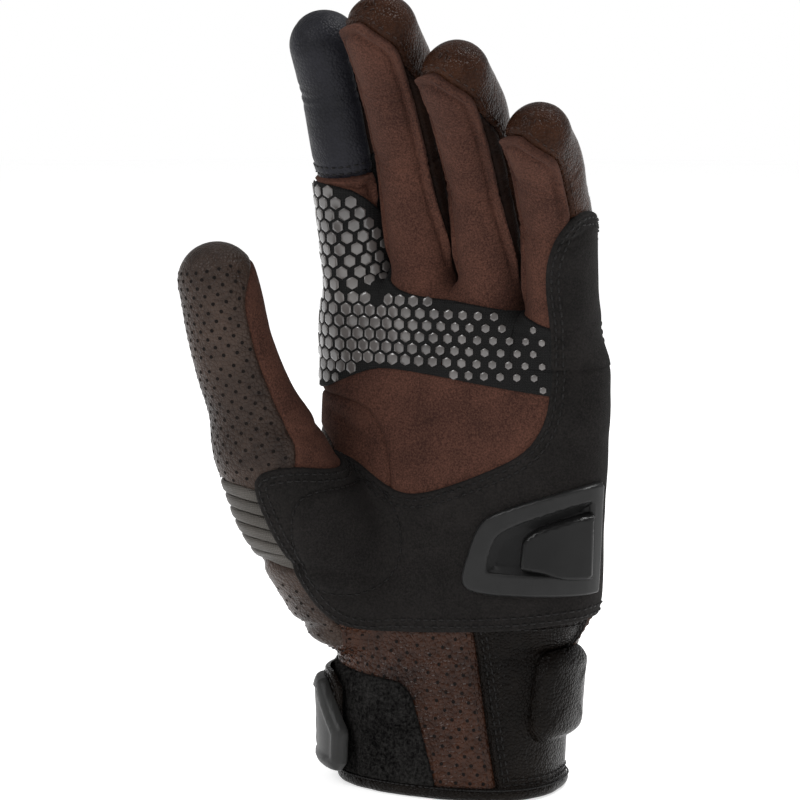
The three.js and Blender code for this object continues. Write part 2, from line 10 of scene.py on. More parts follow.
import bpy
import numpy as np
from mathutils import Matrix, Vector


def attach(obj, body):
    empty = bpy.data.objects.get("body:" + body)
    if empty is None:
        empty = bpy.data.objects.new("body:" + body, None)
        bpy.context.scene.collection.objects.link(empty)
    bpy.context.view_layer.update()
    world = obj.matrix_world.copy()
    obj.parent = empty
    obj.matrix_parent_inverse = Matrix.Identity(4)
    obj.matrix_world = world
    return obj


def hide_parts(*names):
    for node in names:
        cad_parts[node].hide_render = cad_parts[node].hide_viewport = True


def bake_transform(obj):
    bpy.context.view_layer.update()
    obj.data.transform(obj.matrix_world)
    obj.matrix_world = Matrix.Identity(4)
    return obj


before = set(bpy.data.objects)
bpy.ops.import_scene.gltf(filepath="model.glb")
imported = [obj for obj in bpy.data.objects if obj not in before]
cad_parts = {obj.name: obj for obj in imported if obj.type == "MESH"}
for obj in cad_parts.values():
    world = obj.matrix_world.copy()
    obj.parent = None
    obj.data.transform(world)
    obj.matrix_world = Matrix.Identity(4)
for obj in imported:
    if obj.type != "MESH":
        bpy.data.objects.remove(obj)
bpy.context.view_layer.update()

SHIFT = np.array([8.1, 15.0, 0.0])  # from the glove's own frame to the model's
MM = 0.001
rng = np.random.default_rng(7)


# ------------------------------------------------------------------ camera, light, floor

AZIMUTH, ELEVATION, DISTANCE = math.radians(25), math.radians(8), 1.1
TARGET = np.array([-7.5, 7.7, 126.4]) * MM


def look_at(obj, eye, target):
    obj.location = Vector(eye)
    obj.rotation_euler = (Vector(target) - Vector(eye)).to_track_quat("-Z", "Y").to_euler()


def make_camera():
    camera = bpy.data.objects.new("camera", bpy.data.cameras.new("camera"))
    camera.data.sensor_width = 36
    camera.data.lens = 152.3
    camera.data.clip_end = 50
    bpy.context.collection.objects.link(camera)
    level = math.cos(ELEVATION)
    towards = np.array([math.sin(AZIMUTH) * level, -math.cos(AZIMUTH) * level, math.sin(ELEVATION)])
    look_at(camera, TARGET + towards * DISTANCE, TARGET)
    bpy.context.scene.camera = camera
    bpy.context.scene.view_settings.view_transform = "Standard"


def make_lights():
    lights = [  # name, place, diameter in metres, watts
        ("key_light", (-0.7, -1.2, 1.3), 0.7, 12.5),
        ("fill_light", (1.6, -0.9, 0.6), 1.0, 3.6),
        ("top_light", (0.5, 0.4, 1.5), 0.5, 13),
        ("rim_light", (1.2, 0.9, 0.8), 0.6, 0.8),
    ]
    for name, place, size, power in lights:
        light = bpy.data.objects.new(name, bpy.data.lights.new(name, "AREA"))
        light.data.shape = "DISK"
        light.data.size = size
        light.data.energy = power
        bpy.context.collection.objects.link(light)
        look_at(light, place, (0, 0, 0.13))


def make_sky():
    """White at the horizon and grey above, so that dark leather keeps its depth."""
    world = bpy.data.worlds.new("studio")
    world.use_nodes = True
    tree = world.node_tree
    place = tree.nodes.new("ShaderNodeTexCoord").outputs["Generated"]
    height = tree.nodes.new("ShaderNodeSeparateXYZ")
    tree.links.new(place, height.inputs["Vector"])
    sky = tree.nodes.new("ShaderNodeValToRGB")
    for element, position, value in zip(sky.color_ramp.elements, (0.01, 0.16), (1.0, 0.36)):
        element.position = position
        element.color = grey(value)
    tree.links.new(height.outputs["Z"], sky.inputs["Fac"])
    tree.links.new(sky.outputs["Color"], tree.nodes["Background"].inputs["Color"])
    tree.nodes["Background"].inputs["Strength"].default_value = 1.0
    bpy.context.scene.world = world


def plain_floor():
    material = bpy.data.materials.new("floor")
    material.use_nodes = True
    shader = material.node_tree.nodes["Principled BSDF"]
    shader.inputs["Base Color"].default_value = grey(0.8)
    shader.inputs["Emission Color"].default_value = grey(1.0)
    shader.inputs["Emission Strength"].default_value = 0.66
    shader.inputs["Roughness"].default_value = 0.7
    return material


def make_floor():
    floor_mesh = bpy.data.meshes.new("floor")
    ring = [(3 * math.cos(a), 3 * math.sin(a), 0) for a in np.linspace(0, math.tau, 64, endpoint=False)]
    floor_mesh.from_pydata(ring, [], [range(64)])
    floor = bpy.data.objects.new("floor", floor_mesh)
    bpy.context.collection.objects.link(floor)
    floor_mesh.materials.append(plain_floor())


# ------------------------------------------------------------------ materials


def srgb(code):
    """Linear colour of a hex code."""
    values = [int(code[i : i + 2], 16) / 255 for i in (0, 2, 4)]
    return tuple(v / 12.92 if v <= 0.04045 else ((v + 0.055) / 1.055) ** 2.4 for v in values) + (1,)


class Nodes:
    """Short calls to build one material's node tree."""

    def __init__(self, name):
        self.material = bpy.data.materials.new(name)
        self.material.use_nodes = True
        self.tree = self.material.node_tree
        self.shader = self.tree.nodes["Principled BSDF"]
        self.place = self.tree.nodes.new("ShaderNodeTexCoord").outputs["Object"]

    def link(self, output, node_input):
        self.tree.links.new(output, node_input)

    def noise(self, scale, detail=3, rough=0.6):
        node = self.tree.nodes.new("ShaderNodeTexNoise")
        node.inputs["Scale"].default_value = scale
        node.inputs["Detail"].default_value = detail
        node.inputs["Roughness"].default_value = rough
        self.link(self.place, node.inputs["Vector"])
        return node.outputs["Fac"]

    def cells(self, scale, feature="DISTANCE_TO_EDGE"):
        node = self.tree.nodes.new("ShaderNodeTexVoronoi")
        node.feature = feature
        node.inputs["Scale"].default_value = scale
        self.link(self.place, node.inputs["Vector"])
        return node.outputs["Distance"]

    def math(self, operation, a, b, clamp=False):
        node = self.tree.nodes.new("ShaderNodeMath")
        node.operation = operation
        node.use_clamp = clamp
        for i, value in enumerate((a, b)):
            if isinstance(value, (int, float)):
                node.inputs[i].default_value = value
            else:
                self.link(value, node.inputs[i])
        return node.outputs["Value"]

    def ramp(self, value, stops):
        """stops are (position, colour) pairs."""
        node = self.tree.nodes.new("ShaderNodeValToRGB")
        elements = node.color_ramp.elements
        while len(elements) < len(stops):
            elements.new(0.5)
        for element, (position, colour) in zip(elements, stops):
            element.position = position
            element.color = colour
        self.link(value, node.inputs["Fac"])
        return node.outputs["Color"]

    def bump(self, heights):
        """heights are (height, strength, distance in metres) layers, coarsest first."""
        normal = None
        for height, strength, distance in heights:
            node = self.tree.nodes.new("ShaderNodeBump")
            node.inputs["Strength"].default_value = strength
            node.inputs["Distance"].default_value = distance
            self.link(height, node.inputs["Height"])
            if normal is not None:
                self.link(normal, node.inputs["Normal"])
            normal = node.outputs["Normal"]
        self.link(normal, self.shader.inputs["Normal"])

    def set(self, **values):
        for key, value in values.items():
            self.shader.inputs[key.replace("_", " ")].default_value = value


def grey(value):
    return (value, value, value, 1)


def leather(name, dark, light, grain=900, rough=(0.34, 0.6), bump=0.5, specular=0.5):
    n = Nodes(name)
    pebble = n.cells(grain)
    dome = n.math("MULTIPLY", n.cells(grain, "F1"), -1.0)
    fine = n.noise(grain * 1.6, 4)
    broad = n.noise(38, 3)
    wrinkle = n.noise(230, 5, 0.65)
    tone = n.math("ADD", n.math("MULTIPLY", broad, 0.7), n.math("MULTIPLY", wrinkle, 0.35))
    tone = n.math("ADD", tone, n.math("MULTIPLY", dome, 0.12))
    n.link(n.ramp(tone, [(0.3, srgb(dark)), (0.66, srgb(light))]), n.shader.inputs["Base Color"])
    n.link(n.ramp(fine, [(0.3, grey(rough[0])), (0.7, grey(rough[1]))]), n.shader.inputs["Roughness"])
    crack = n.math("MINIMUM", pebble, 0.16)
    layers = [(wrinkle, 0.5, 0.0006), (dome, 0.8, 0.0004), (crack, 0.6, 0.0009), (fine, 0.4, 0.0002)]
    n.bump([(height, bump * share, distance) for height, share, distance in layers])
    n.set(Specular_IOR_Level=specular)
    return n.material


def suede(name, dark, light, nap=1500, sheen=0.25, bump=0.6, specular=0.2):
    n = Nodes(name)
    pile = n.noise(nap, 4, 0.75)
    brushed = n.noise(60, 4, 0.6)
    speck = n.noise(nap * 0.55, 2, 0.5)
    tone = n.math("ADD", n.math("MULTIPLY", pile, 0.72), n.math("MULTIPLY", brushed, 0.28))
    n.link(n.ramp(tone, [(0.4, srgb(dark)), (0.62, srgb(light))]), n.shader.inputs["Base Color"])
    n.bump([(speck, bump * 0.5, 0.0005), (pile, bump, 0.0004)])
    n.set(Roughness=0.93, Sheen_Weight=sheen, Sheen_Roughness=0.5, Specular_IOR_Level=specular)
    n.set(Sheen_Tint=srgb(light))
    return n.material


def fabric(name, dark, light, period=0.8, rough=0.85):
    n = Nodes(name)
    waves = []
    for direction in ("X", "Z"):
        node = n.tree.nodes.new("ShaderNodeTexWave")
        node.bands_direction = direction
        node.inputs["Scale"].default_value = 314 / period
        node.inputs["Distortion"].default_value = 0.6
        n.link(n.place, node.inputs["Vector"])
        waves.append(node.outputs["Fac"])
    thread = n.math("MULTIPLY", *waves)
    mottle = n.noise(90, 3)
    tone = n.math("ADD", n.math("MULTIPLY", thread, 0.5), n.math("MULTIPLY", mottle, 0.5))
    n.link(n.ramp(tone, [(0.25, srgb(dark)), (0.7, srgb(light))]), n.shader.inputs["Base Color"])
    n.bump([(thread, 0.6, 0.0003)])
    n.set(Roughness=rough, Specular_IOR_Level=0.25)
    return n.material


def moulded(name, dark, light, rough=(0.3, 0.5), grain=2600, bump=0.12, specular=0.5, coat=0.0):
    n = Nodes(name)
    grit = n.noise(grain, 3, 0.6)
    smear = n.noise(45, 4, 0.6)
    n.link(n.ramp(smear, [(0.3, srgb(dark)), (0.7, srgb(light))]), n.shader.inputs["Base Color"])
    n.link(n.ramp(smear, [(0.3, grey(rough[0])), (0.72, grey(rough[1]))]), n.shader.inputs["Roughness"])
    n.bump([(grit, bump, 0.0002)])
    n.set(Specular_IOR_Level=specular, Coat_Weight=coat, Coat_Roughness=0.25)
    return n.material


MATERIALS = {
    "suede": suede("brown_suede", "2b1812", "57382d", nap=1700, sheen=0.12),
    "leather": leather("brown_leather", "1f110b", "3f271b", rough=(0.18, 0.32), specular=0.07, bump=0.7),
    "perforated": leather(
        "perforated_leather", "241b17", "43362f", grain=800, rough=(0.26, 0.44), specular=0.15, bump=0.9
    ),
    "perforated_dark": leather(
        "dark_perforated_leather", "1a0d08", "40271b", grain=620, rough=(0.12, 0.24), specular=0.16, bump=1.0
    ),
    "fourchette": leather(
        "fourchette_leather", "170e0b", "2a1b14", grain=1100, rough=(0.5, 0.7), specular=0.08
    ),
    "black_suede": suede("black_suede", "070605", "211e1d", nap=1500, sheen=0.05),
    "black_leather": leather(
        "black_leather", "080605", "16120f", rough=(0.12, 0.26), specular=0.07, bump=0.9
    ),
    "touch_leather": leather(
        "touch_leather", "131317", "25252b", grain=1000, rough=(0.34, 0.5), specular=0.14
    ),
    "grip_base": fabric("grip_fabric", "060606", "121111"),
    "grip": moulded("grip_silicone", "454241", "676361", rough=(0.1, 0.24), coat=0.6, bump=0.05),
    "stretch": fabric("ribbed_stretch", "3c3935", "5a5550", period=0.6, rough=0.5),
    "shell": moulded("gun_metal_shell", "141414", "222222", rough=(0.34, 0.46), specular=0.25, bump=0.2),
    "puck": moulded("satin_puck", "080808", "121212", rough=(0.26, 0.36), specular=0.2),
    "recess": moulded("dark_recess", "040404", "090909", rough=(0.4, 0.55), specular=0.2),
    "rubber": moulded("rubber", "181818", "2a2a29", rough=(0.4, 0.55), grain=1800, specular=0.3, bump=0.3),
    "pile": suede("loop_pile", "010101", "2d2c2b", nap=900, sheen=0.02, bump=1.0, specular=0.05),
    "lining": fabric("lining_knit", "0a0a0b", "161618"),
    "thread_black": fabric("black_thread", "0b0a0a", "252322", period=0.35, rough=0.5),
    "thread_brown": fabric("brown_thread", "20130e", "452d24", period=0.35, rough=0.5),
    # the holes' dishes: dark for the lining behind a hole and with painted shade down it, since the leather
    # is not cut
    "hole": suede("hole_lining_and_painted_shade", "080504", "17100d", nap=1500, sheen=0.0),
}
MATERIALS["wedge"] = MATERIALS["grip_base"]


# ------------------------------------------------------------------ the glove's shape

COLUMN = np.array(
    [  # height, centre x, centre y, half width, half depth
        (0, 0, 0, 37, 27),
        (25, 0.2, 0.5, 38.6, 25.4),
        (47, 0.5, 1, 40, 23.5),
        (60, 2.8, 0.5, 46.5, 22.5),
        (90, 2.5, 0, 48, 20),
        (125, 3, 0.5, 49.5, 18),
        (150, 3.2, 1, 48.5, 16.5),
        (176, 2.7, 1, 47.5, 15.5),
    ]
)
POWER = 2.4  # how square the column's outline is; 2 is an ellipse
TABLE_Z = np.arange(-40.0, 230.0)


def smooth_rows(sigma=4.0):
    """COLUMN's values at every millimetre of height, without corners."""
    kernel = np.exp(-0.5 * (np.arange(-15, 16) / sigma) ** 2)
    kernel /= kernel.sum()
    rows = []
    for column in COLUMN.T[1:]:
        raw = np.interp(np.arange(-55.0, 245.0), COLUMN[:, 0], column)
        rows.append(np.convolve(raw, kernel, "same")[15:-15])
    return rows


ROWS = smooth_rows()
CROTCH = [(-45, 160), (-20, 164), (3.5, 164), (26, 155), (50, 146)]  # x, height of the palm's top
THENAR_FROM, THENAR_TO = np.array([-33.0, -15, 66]), np.array([-48.1, -38.1, 113])
THENAR_RADII = [19.5, 20, 18.5, 16.2]
FINGERS = {
    "index": dict(hump=0.3, x=-32.3, half=11.6, lean=-3.5, root=163, bones=(39, 27, 26), tilt=(8, 16, 25)),
    "middle": dict(hump=1.4, x=-8.3, half=11.9, lean=-1, root=165, bones=(43, 29, 28), tilt=(15, 27, 37)),
    "ring": dict(hump=1.5, x=15.2, half=11.4, lean=1, root=162, bones=(38, 27, 26), tilt=(18, 32, 44)),
    "little": dict(hump=0.8, x=37.6, half=10.8, lean=4, root=152, bones=(35, 23, 24), tilt=(16, 33, 48)),
}
SLABS = {"index": (-90, -20.4), "middle": (-20.4, 3.6), "ring": (3.6, 26.6), "little": (26.6, 90)}
FINGER_CUT = 140.0  # height where the fingers' pieces start
FREE = 168  # height where the fingers stand free of each other
THUMB_BONES = (34, 35)
SIDE_SEAM = 1.0  # the y that parts the palm side from the back


def unit(v):
    v = np.asarray(v, float)
    return v / np.linalg.norm(v)


def unit_rows(V):
    return V / np.linalg.norm(V, axis=1)[:, None]


def path_lengths(points):
    """Each point's length along the path through the points."""
    return np.concatenate([[0], np.cumsum(np.linalg.norm(np.diff(points, axis=0), axis=1))])


def smin(a, b, k):
    """The smaller of a and b, with a smooth change over about k."""
    h = np.clip(0.5 + 0.5 * (b - a) / k, 0, 1)
    return b + (a - b) * h - k * h * (1 - h)


def step(value, low, high):
    """A smooth change from 0 at low to 1 at high."""
    t = np.clip((value - low) / (high - low), 0, 1)
    return t * t * (3 - 2 * t)


def column_frame(P):
    """P's place in the column's own section, from -1 to 1 each way, and its distance from the middle."""
    x, y, w, d = (np.interp(P[:, 2], TABLE_Z, row) for row in ROWS)
    return (P[:, 0] - x) / w, (P[:, 1] - y) / d, np.hypot(P[:, 0] - x, P[:, 1] - y)


def column(P):
    """Distance to the column of the cuff and the palm, without the thumb."""
    u, v, rho = column_frame(P)
    q = (np.abs(u) ** POWER + np.abs(v) ** POWER) ** (1 / POWER)
    return rho * (1 - 1 / np.maximum(q, 1e-3))


def column_angle(P):
    """Degrees: 0 little-finger side, 90 back, 180 thumb side, 270 palm."""
    u, v, _ = column_frame(P)
    bent = [np.sign(c) * np.abs(c) ** (POWER / 2) for c in (u, v)]
    return np.degrees(np.arctan2(bent[1], bent[0])) % 360


def column_point(z, angle, offset=0.0):
    """The column's surface at a height and an angle, moved outwards by offset."""
    z, angle = np.broadcast_arrays(np.asarray(z, float), np.radians(angle))
    x, y, w, d = (np.interp(z, TABLE_Z, row) for row in ROWS)
    c, s = np.cos(angle), np.sin(angle)
    bent = [np.sign(v) * np.abs(v) ** (2 / POWER) for v in (c, s)]
    return np.stack([x + (w + offset) * bent[0], y + (d + offset) * bent[1], z], -1)


def capped_column(P):
    """The column, closed by a rounded top between the fingers."""
    top = P[:, 2] - np.interp(P[:, 0], *zip(*CROTCH))
    return -smin(-column(P), -top, 9)


def around(e, across):
    """For a segment along e: the unit vectors towards the palm and to the side."""
    n = unit(np.cross(across, e))
    return n, np.cross(e, n)


def tube(P, centres, a, b, across, back=None):
    """Distance to a chain of elliptical segments with rounded ends, deeper by back on their back side."""
    back = np.zeros(len(centres)) if back is None else back
    best = np.full(len(P), 1e3)
    for i in range(len(centres) - 1):
        e = centres[i + 1] - centres[i]
        length = np.linalg.norm(e)
        e = e / length
        n, s = around(e, across)
        W = P - centres[i]
        t = W @ e
        tc = np.clip(t, 0, length)
        share = tc / length
        ai = a[i] + (a[i + 1] - a[i]) * share
        bi = b[i] + (b[i + 1] - b[i]) * share
        u, v, w = W @ s, W @ n, t - tc
        bi = np.where(v < 0, bi + back[i] + (back[i + 1] - back[i]) * share, bi)
        q = np.sqrt((u / ai) ** 2 + (v / bi) ** 2 + (w * 2 / (ai + bi)) ** 2)
        best = np.minimum(best, np.sqrt(u * u + v * v + w * w) * (1 - 1 / np.maximum(q, 0.02)))
    return best


def rounded_chain(points, reach=8.0, steps=4):
    """The points with each inner corner replaced by a short curve, and each point's length along."""
    points = [np.asarray(p, float) for p in points]
    made = [points[0]]
    for before, corner, after in zip(points, points[1:], points[2:]):
        start = corner + unit(before - corner) * reach
        end = corner + unit(after - corner) * reach
        for t in np.linspace(0, 1, steps + 1):
            made.append((1 - t) ** 2 * start + 2 * t * (1 - t) * corner + t * t * end)
    made.append(points[-1])
    made = np.array(made)
    return made, path_lengths(made)


class Digit:
    """A finger or the thumb: its chain of segments and the coordinates on it."""

    def __init__(self, points, stations, a, b, across, under, back=(0, 0)):
        self.joints = [np.asarray(p, float) for p in points]
        self.bones = [np.linalg.norm(q - p) for p, q in zip(self.joints, self.joints[1:])]
        self.total = sum(self.bones)
        self.across = np.asarray(across, float)
        cap = (a[-1] + b[-1]) / 2
        last = self.joints[-1] - unit(self.joints[-1] - self.joints[-2]) * cap
        chain, along = rounded_chain([self.joints[0] + under, *self.joints[:-1], last])
        self.under = np.linalg.norm(under)
        self.chain, self.along = chain, along - self.under
        self.a, self.b = np.interp(self.along, stations, a), np.interp(self.along, stations, b)
        self.back = np.interp(self.along, np.linspace(0, self.total, len(back)), back)

    def __call__(self, P):
        return tube(P, self.chain, self.a, self.b, self.across, self.back)

    def coordinates(self, P):
        """Length along from the root, and the angle round it in degrees, 0 at the palm side."""
        best = np.full(len(P), 1e9)
        s, angle = np.zeros(len(P)), np.zeros(len(P))
        for i in range(len(self.chain) - 1):
            e = self.chain[i + 1] - self.chain[i]
            length = np.linalg.norm(e)
            e = e / length
            n, side = around(e, self.across)
            W = P - self.chain[i]
            t = W @ e
            tc = np.clip(t, 0, length)
            u, v = W @ side, W @ n
            gap = u * u + v * v + (t - tc) ** 2
            closer = gap < best
            best = np.where(closer, gap, best)
            beyond = t if i == len(self.chain) - 2 else tc
            s = np.where(closer, self.along[i] + beyond, s)
            angle = np.where(closer, np.degrees(np.arctan2(u, v)), angle)
        return s, angle

    def at(self, s):
        """The point on the joints' own line at length s, and the direction there."""
        for p, q, bone in zip(self.joints, self.joints[1:], self.bones):
            if s <= bone or q is self.joints[-1]:
                e = unit(q - p)
                return p + e * s, e
            s -= bone


def finger_shape(name):
    f = FINGERS[name]
    lean = math.radians(f["lean"])
    points = [np.array([f["x"], 1.0, f["root"]])]
    for bone, tilt in zip(f["bones"], np.radians(f["tilt"])):
        e = (math.sin(lean), -math.sin(tilt) * math.cos(lean), math.cos(tilt) * math.cos(lean))
        points.append(points[-1] + bone * np.array(e))
    l0, l1, l2 = f["bones"]
    stations = [-16, 0, l0 / 2, l0, l0 + l1 / 2, l0 + l1, l0 + l1 + l2 / 2, l0 + l1 + l2]
    scale = (f["half"] - 0.3) / 11.6
    a = np.array([11.4, 11.6, 11.6, 11.6, 11.6, 11.6, 11.6, 11.1]) * scale
    b = np.array([13.5, 14.6, 13.3, 12.3, 12, 11.8, 11.6, 11]) * math.sqrt(scale)
    back = np.array([0, 0.5, 2, 2.8, 2.4, 1.3, 0]) * f["hump"]
    return Digit(points, stations, a, b, (1, 0, 0), np.array([0, 0, -16.0]), back)


def thumb_shape():
    direction = unit([-0.24, -0.247, 0.939])
    back = np.array([-0.4735, -0.8144, -0.3352])
    across = unit(np.cross(back, direction))
    bend = math.radians(9)
    middle = THENAR_TO + direction * THUMB_BONES[0]
    bent = unit(direction * math.cos(bend) - back * math.sin(bend))
    points = [THENAR_TO, middle, middle + bent * THUMB_BONES[1]]
    stations = [-20, 0, 17, 34, 51.5, 69]
    a = [16, 15.4, 14, 13.4, 13.4, 12.8]
    b = [16, 15.4, 14, 13.2, 12.8, 12.2]
    return Digit(points, stations, a, b, across, -direction * 20)


DIGITS = {name: finger_shape(name) for name in FINGERS}
THUMB = thumb_shape()


def thenar(P):
    """The ball of the thumb."""
    centres = np.array([THENAR_FROM + (THENAR_TO - THENAR_FROM) * t for t in (0, 1 / 3, 2 / 3, 1)])
    return tube(P, centres, THENAR_RADII, THENAR_RADII, np.array([1.0, 0, 0]))


def palm_body(P):
    return smin(capped_column(P), thenar(P), 10)


def hand_body(P):
    return smin(palm_body(P), THUMB(P), 7)


def finger_body(name):
    digit = DIGITS[name]
    return lambda P: smin(capped_column(P), digit(P), 6)


# ------------------------------------------------------------------ meshing


def field_gradient(field, P, e=0.2):
    steps = np.array([(1, -1, -1), (-1, -1, 1), (-1, 1, -1), (1, 1, 1)]) * e
    return sum(field(P + d)[:, None] * d for d in steps) / (4 * e * e)


def outward(field, P):
    """The field's unit normals."""
    return unit_rows(field_gradient(field, P))


def settle(field, P, rounds=3):
    """Moves the points onto the field's zero surface."""
    for _ in range(rounds):
        g = field_gradient(field, P)
        P = P - (field(P) / np.maximum((g * g).sum(1), 1e-4))[:, None] * g
    return P


CORNERS = [(i, j, k) for i in (0, 1) for j in (0, 1) for k in (0, 1)]
EDGES = [(p, q) for p in CORNERS for q in CORNERS if p < q and sum(abs(a - b) for a, b in zip(p, q)) == 1]


def mesh_field(field, low, high, h):
    """Surface nets: the zero surface of the field in a box, as points and triangles."""
    axes = [np.arange(a, b + h, h) for a, b in zip(low, high)]
    grid = np.stack(np.meshgrid(*axes, indexing="ij"), -1).reshape(-1, 3)
    F = np.concatenate([field(part) for part in np.array_split(grid, 12)]).reshape([len(a) for a in axes])
    inside = F < 0
    count = np.zeros([n - 1 for n in F.shape], np.int8)
    for i, j, k in CORNERS:
        count += inside[i : i + count.shape[0], j : j + count.shape[1], k : k + count.shape[2]]
    active = (count > 0) & (count < 8)
    index = np.full(active.shape, -1)
    cells = np.argwhere(active)
    index[active] = np.arange(len(cells))
    total, hits = np.zeros((len(cells), 3)), np.zeros(len(cells))
    for p, q in EDGES:
        fp, fq = F[tuple((cells + p).T)], F[tuple((cells + q).T)]
        cross = (fp < 0) != (fq < 0)
        t = np.where(cross, fp / np.where(cross, fp - fq, 1), 0)
        point = np.array(p) + t[:, None] * (np.array(q) - np.array(p))
        total += np.where(cross[:, None], point, 0)
        hits += cross
    P = settle(field, np.array([a[0] for a in axes]) + (cells + total / hits[:, None]) * h)
    return P, halved(P, net_quads(inside, index))


def net_quads(inside, index):
    """A quad of four cells round every grid edge that crosses the surface, facing outwards."""
    quads = []
    for axis in range(3):
        b, c = (axis + 1) % 3, (axis + 2) % 3
        ahead = np.take(inside, range(1, inside.shape[axis]), axis)
        here = np.take(inside, range(inside.shape[axis] - 1), axis)
        edge = np.argwhere(here != ahead)
        edge = edge[(edge[:, b] > 0) & (edge[:, c] > 0)]
        edge = edge[(edge[:, b] < inside.shape[b] - 1) & (edge[:, c] < inside.shape[c] - 1)]
        out = here[tuple(edge.T)]
        ring = []
        for db, dc in ((1, 1), (0, 1), (0, 0), (1, 0)):
            cell = edge.copy()
            cell[:, b] -= db
            cell[:, c] -= dc
            ring.append(index[tuple(cell.T)])
        ring = np.stack(ring, 1)
        quads.append(np.where(out[:, None], ring, ring[:, ::-1]))
    return np.concatenate(quads)


def halved(P, quads):
    """Each quad as two triangles, cut along its shorter diagonal."""
    first = np.linalg.norm(P[quads[:, 0]] - P[quads[:, 2]], axis=1)
    second = np.linalg.norm(P[quads[:, 1]] - P[quads[:, 3]], axis=1)
    short = (first < second)[:, None]
    one = np.where(short, quads[:, [0, 1, 2]], quads[:, [0, 1, 3]])
    other = np.where(short, quads[:, [0, 2, 3]], quads[:, [1, 2, 3]])
    return np.concatenate([one, other])


def vertex_normals(V, T):
    a, b, c = (V[T[:, i]] for i in range(3))
    face = np.cross(b - a, c - a)
    total = np.zeros_like(V)
    for i in range(3):
        for k in range(3):
            total[:, k] += np.bincount(T[:, i], face[:, k], len(V))
    return total / np.maximum(np.linalg.norm(total, axis=1), 1e-12)[:, None]


class Surface:
    """Triangles with, per vertex: point P and normal N on the glove, lifted point V and its normal, f."""

    def __init__(self, D, T):
        self.D, self.T = D, T

    P = property(lambda self: self.D[:, 0:3])
    N = property(lambda self: self.D[:, 3:6])
    V = property(lambda self: self.D[:, 6:9])
    L = property(lambda self: self.D[:, 9:12])
    f = property(lambda self: self.D[:, 12])

    def compact(self):
        used, T = np.unique(self.T, return_inverse=True)
        return Surface(self.D[used], T.reshape(-1, 3))

    def split(self, g, keep_both=False):
        """Cuts the triangles along g = 0 and keeps where g > 0, or both sides."""
        g = np.where(np.abs(g) < 1e-4, 1e-4, g)
        positive = g > 0
        count = positive[self.T].sum(1)
        kept = [self.T[(count == 3) | ((count == 0) & keep_both)]]
        cross = (count == 1) | (count == 2)
        X, few = self.T[cross], count[cross] == 1
        if len(X):
            sign = positive[X]
            lone = np.where(few, sign.argmax(1), sign.argmin(1))
            row = np.arange(len(X))
            a, b, c = X[row, lone], X[row, (lone + 1) % 3], X[row, (lone + 2) % 3]
            n = len(self.D)
            low, high = np.minimum(np.r_[a, a], np.r_[b, c]), np.maximum(np.r_[a, a], np.r_[b, c])
            key, back = np.unique(low * n + high, return_inverse=True)
            low, high = key // n, key % n
            t = (g[low] / (g[low] - g[high]))[:, None]
            new = self.D[low] * (1 - t) + self.D[high] * t
            p, q = n + back[: len(X)], n + back[len(X) :]
            tip, base = few | keep_both, ~few | keep_both
            kept.append(np.stack([a, p, q], 1)[tip])
            kept.append(np.stack([p, b, c], 1)[base])
            kept.append(np.stack([p, c, q], 1)[base])
            self.contour = (new, np.stack([back[: len(X)], back[len(X) :]], 1))
            D = np.concatenate([self.D, new])
        else:
            self.contour = (self.D[:0], np.zeros((0, 2), int))
            D = self.D
        return Surface(D, np.concatenate(kept)).compact()

    def lines(self, g):
        """The curves where g = 0, as lists of per-vertex rows."""
        self.split(g)
        rows, pairs = self.contour
        links = {}
        for p, q in pairs.tolist():
            if p != q:
                links.setdefault(p, []).append(q)
                links.setdefault(q, []).append(p)
        made, left = [], set(links)
        for start in sorted(links, key=lambda v: (len(links[v]) != 1, v)):
            if start not in left:
                continue
            walk = [start]
            left.discard(start)
            while True:
                ahead = [v for v in links[walk[-1]] if v in left]
                if not ahead:
                    break
                walk.append(ahead[0])
                left.discard(ahead[0])
            if len(walk) > 2 and walk[0] in links[walk[-1]]:
                walk.append(walk[0])
            if len(walk) > 3:
                made.append(rows[walk])
        return made


def surface_of(field, low, high, h):
    P, T = mesh_field(field, low, high, h)
    N = outward(field, P)
    return Surface(np.concatenate([P, N, P, N, np.zeros((len(P), 1))], 1), T)


# ------------------------------------------------------------------ regions of the surface


def chaikin(outline, rounds, share):
    """The closed outline with its corners cut off, again and again."""
    points = np.asarray(outline, float)
    for _ in range(rounds):
        ahead = np.roll(points, -1, 0)
        points = np.stack([points + (ahead - points) * share, ahead + (points - ahead) * share], 1)
        points = points.reshape(-1, 2)
    return points


def polygon(outline, rounds=2, share=0.25):
    """A field of [x, z]: distance inside the outline, negative outside."""
    A = chaikin(outline, rounds, share)
    B = np.roll(A, -1, 0)

    def field(P):
        x, z = P[:, 0], P[:, 2]
        nearest = np.full(len(P), 1e9)
        inside = np.zeros(len(P), bool)
        for (ax, az), (bx, bz) in zip(A, B):
            ex, ez = bx - ax, bz - az
            t = np.clip(((x - ax) * ex + (z - az) * ez) / (ex * ex + ez * ez), 0, 1)
            nearest = np.minimum(nearest, (x - ax - t * ex) ** 2 + (z - az - t * ez) ** 2)
            spans = (az > z) != (bz > z)
            if ez:
                inside ^= spans & (x < ax + (z - az) * ex / ez)
        return np.sqrt(nearest) * np.where(inside, 1, -1)

    return field


def above(z):
    """A field: millimetres above the height z."""
    return lambda P: P[:, 2] - z


def in_front_of(y):
    """A field: millimetres to the palm side of the given y."""
    return lambda P: y - P[:, 1]


def both(*fields):
    """Positive where all the fields are."""
    return lambda P: np.minimum.reduce([field(P) for field in fields])


def surface_distance(S, field, floor=0.25):
    """The field's value as a distance along the surface."""
    g = field(S.P)
    G = field_gradient(field, S.P, 0.1)
    G = G - (G * S.N).sum(1)[:, None] * S.N
    return g / np.maximum(np.linalg.norm(G, axis=1), floor)


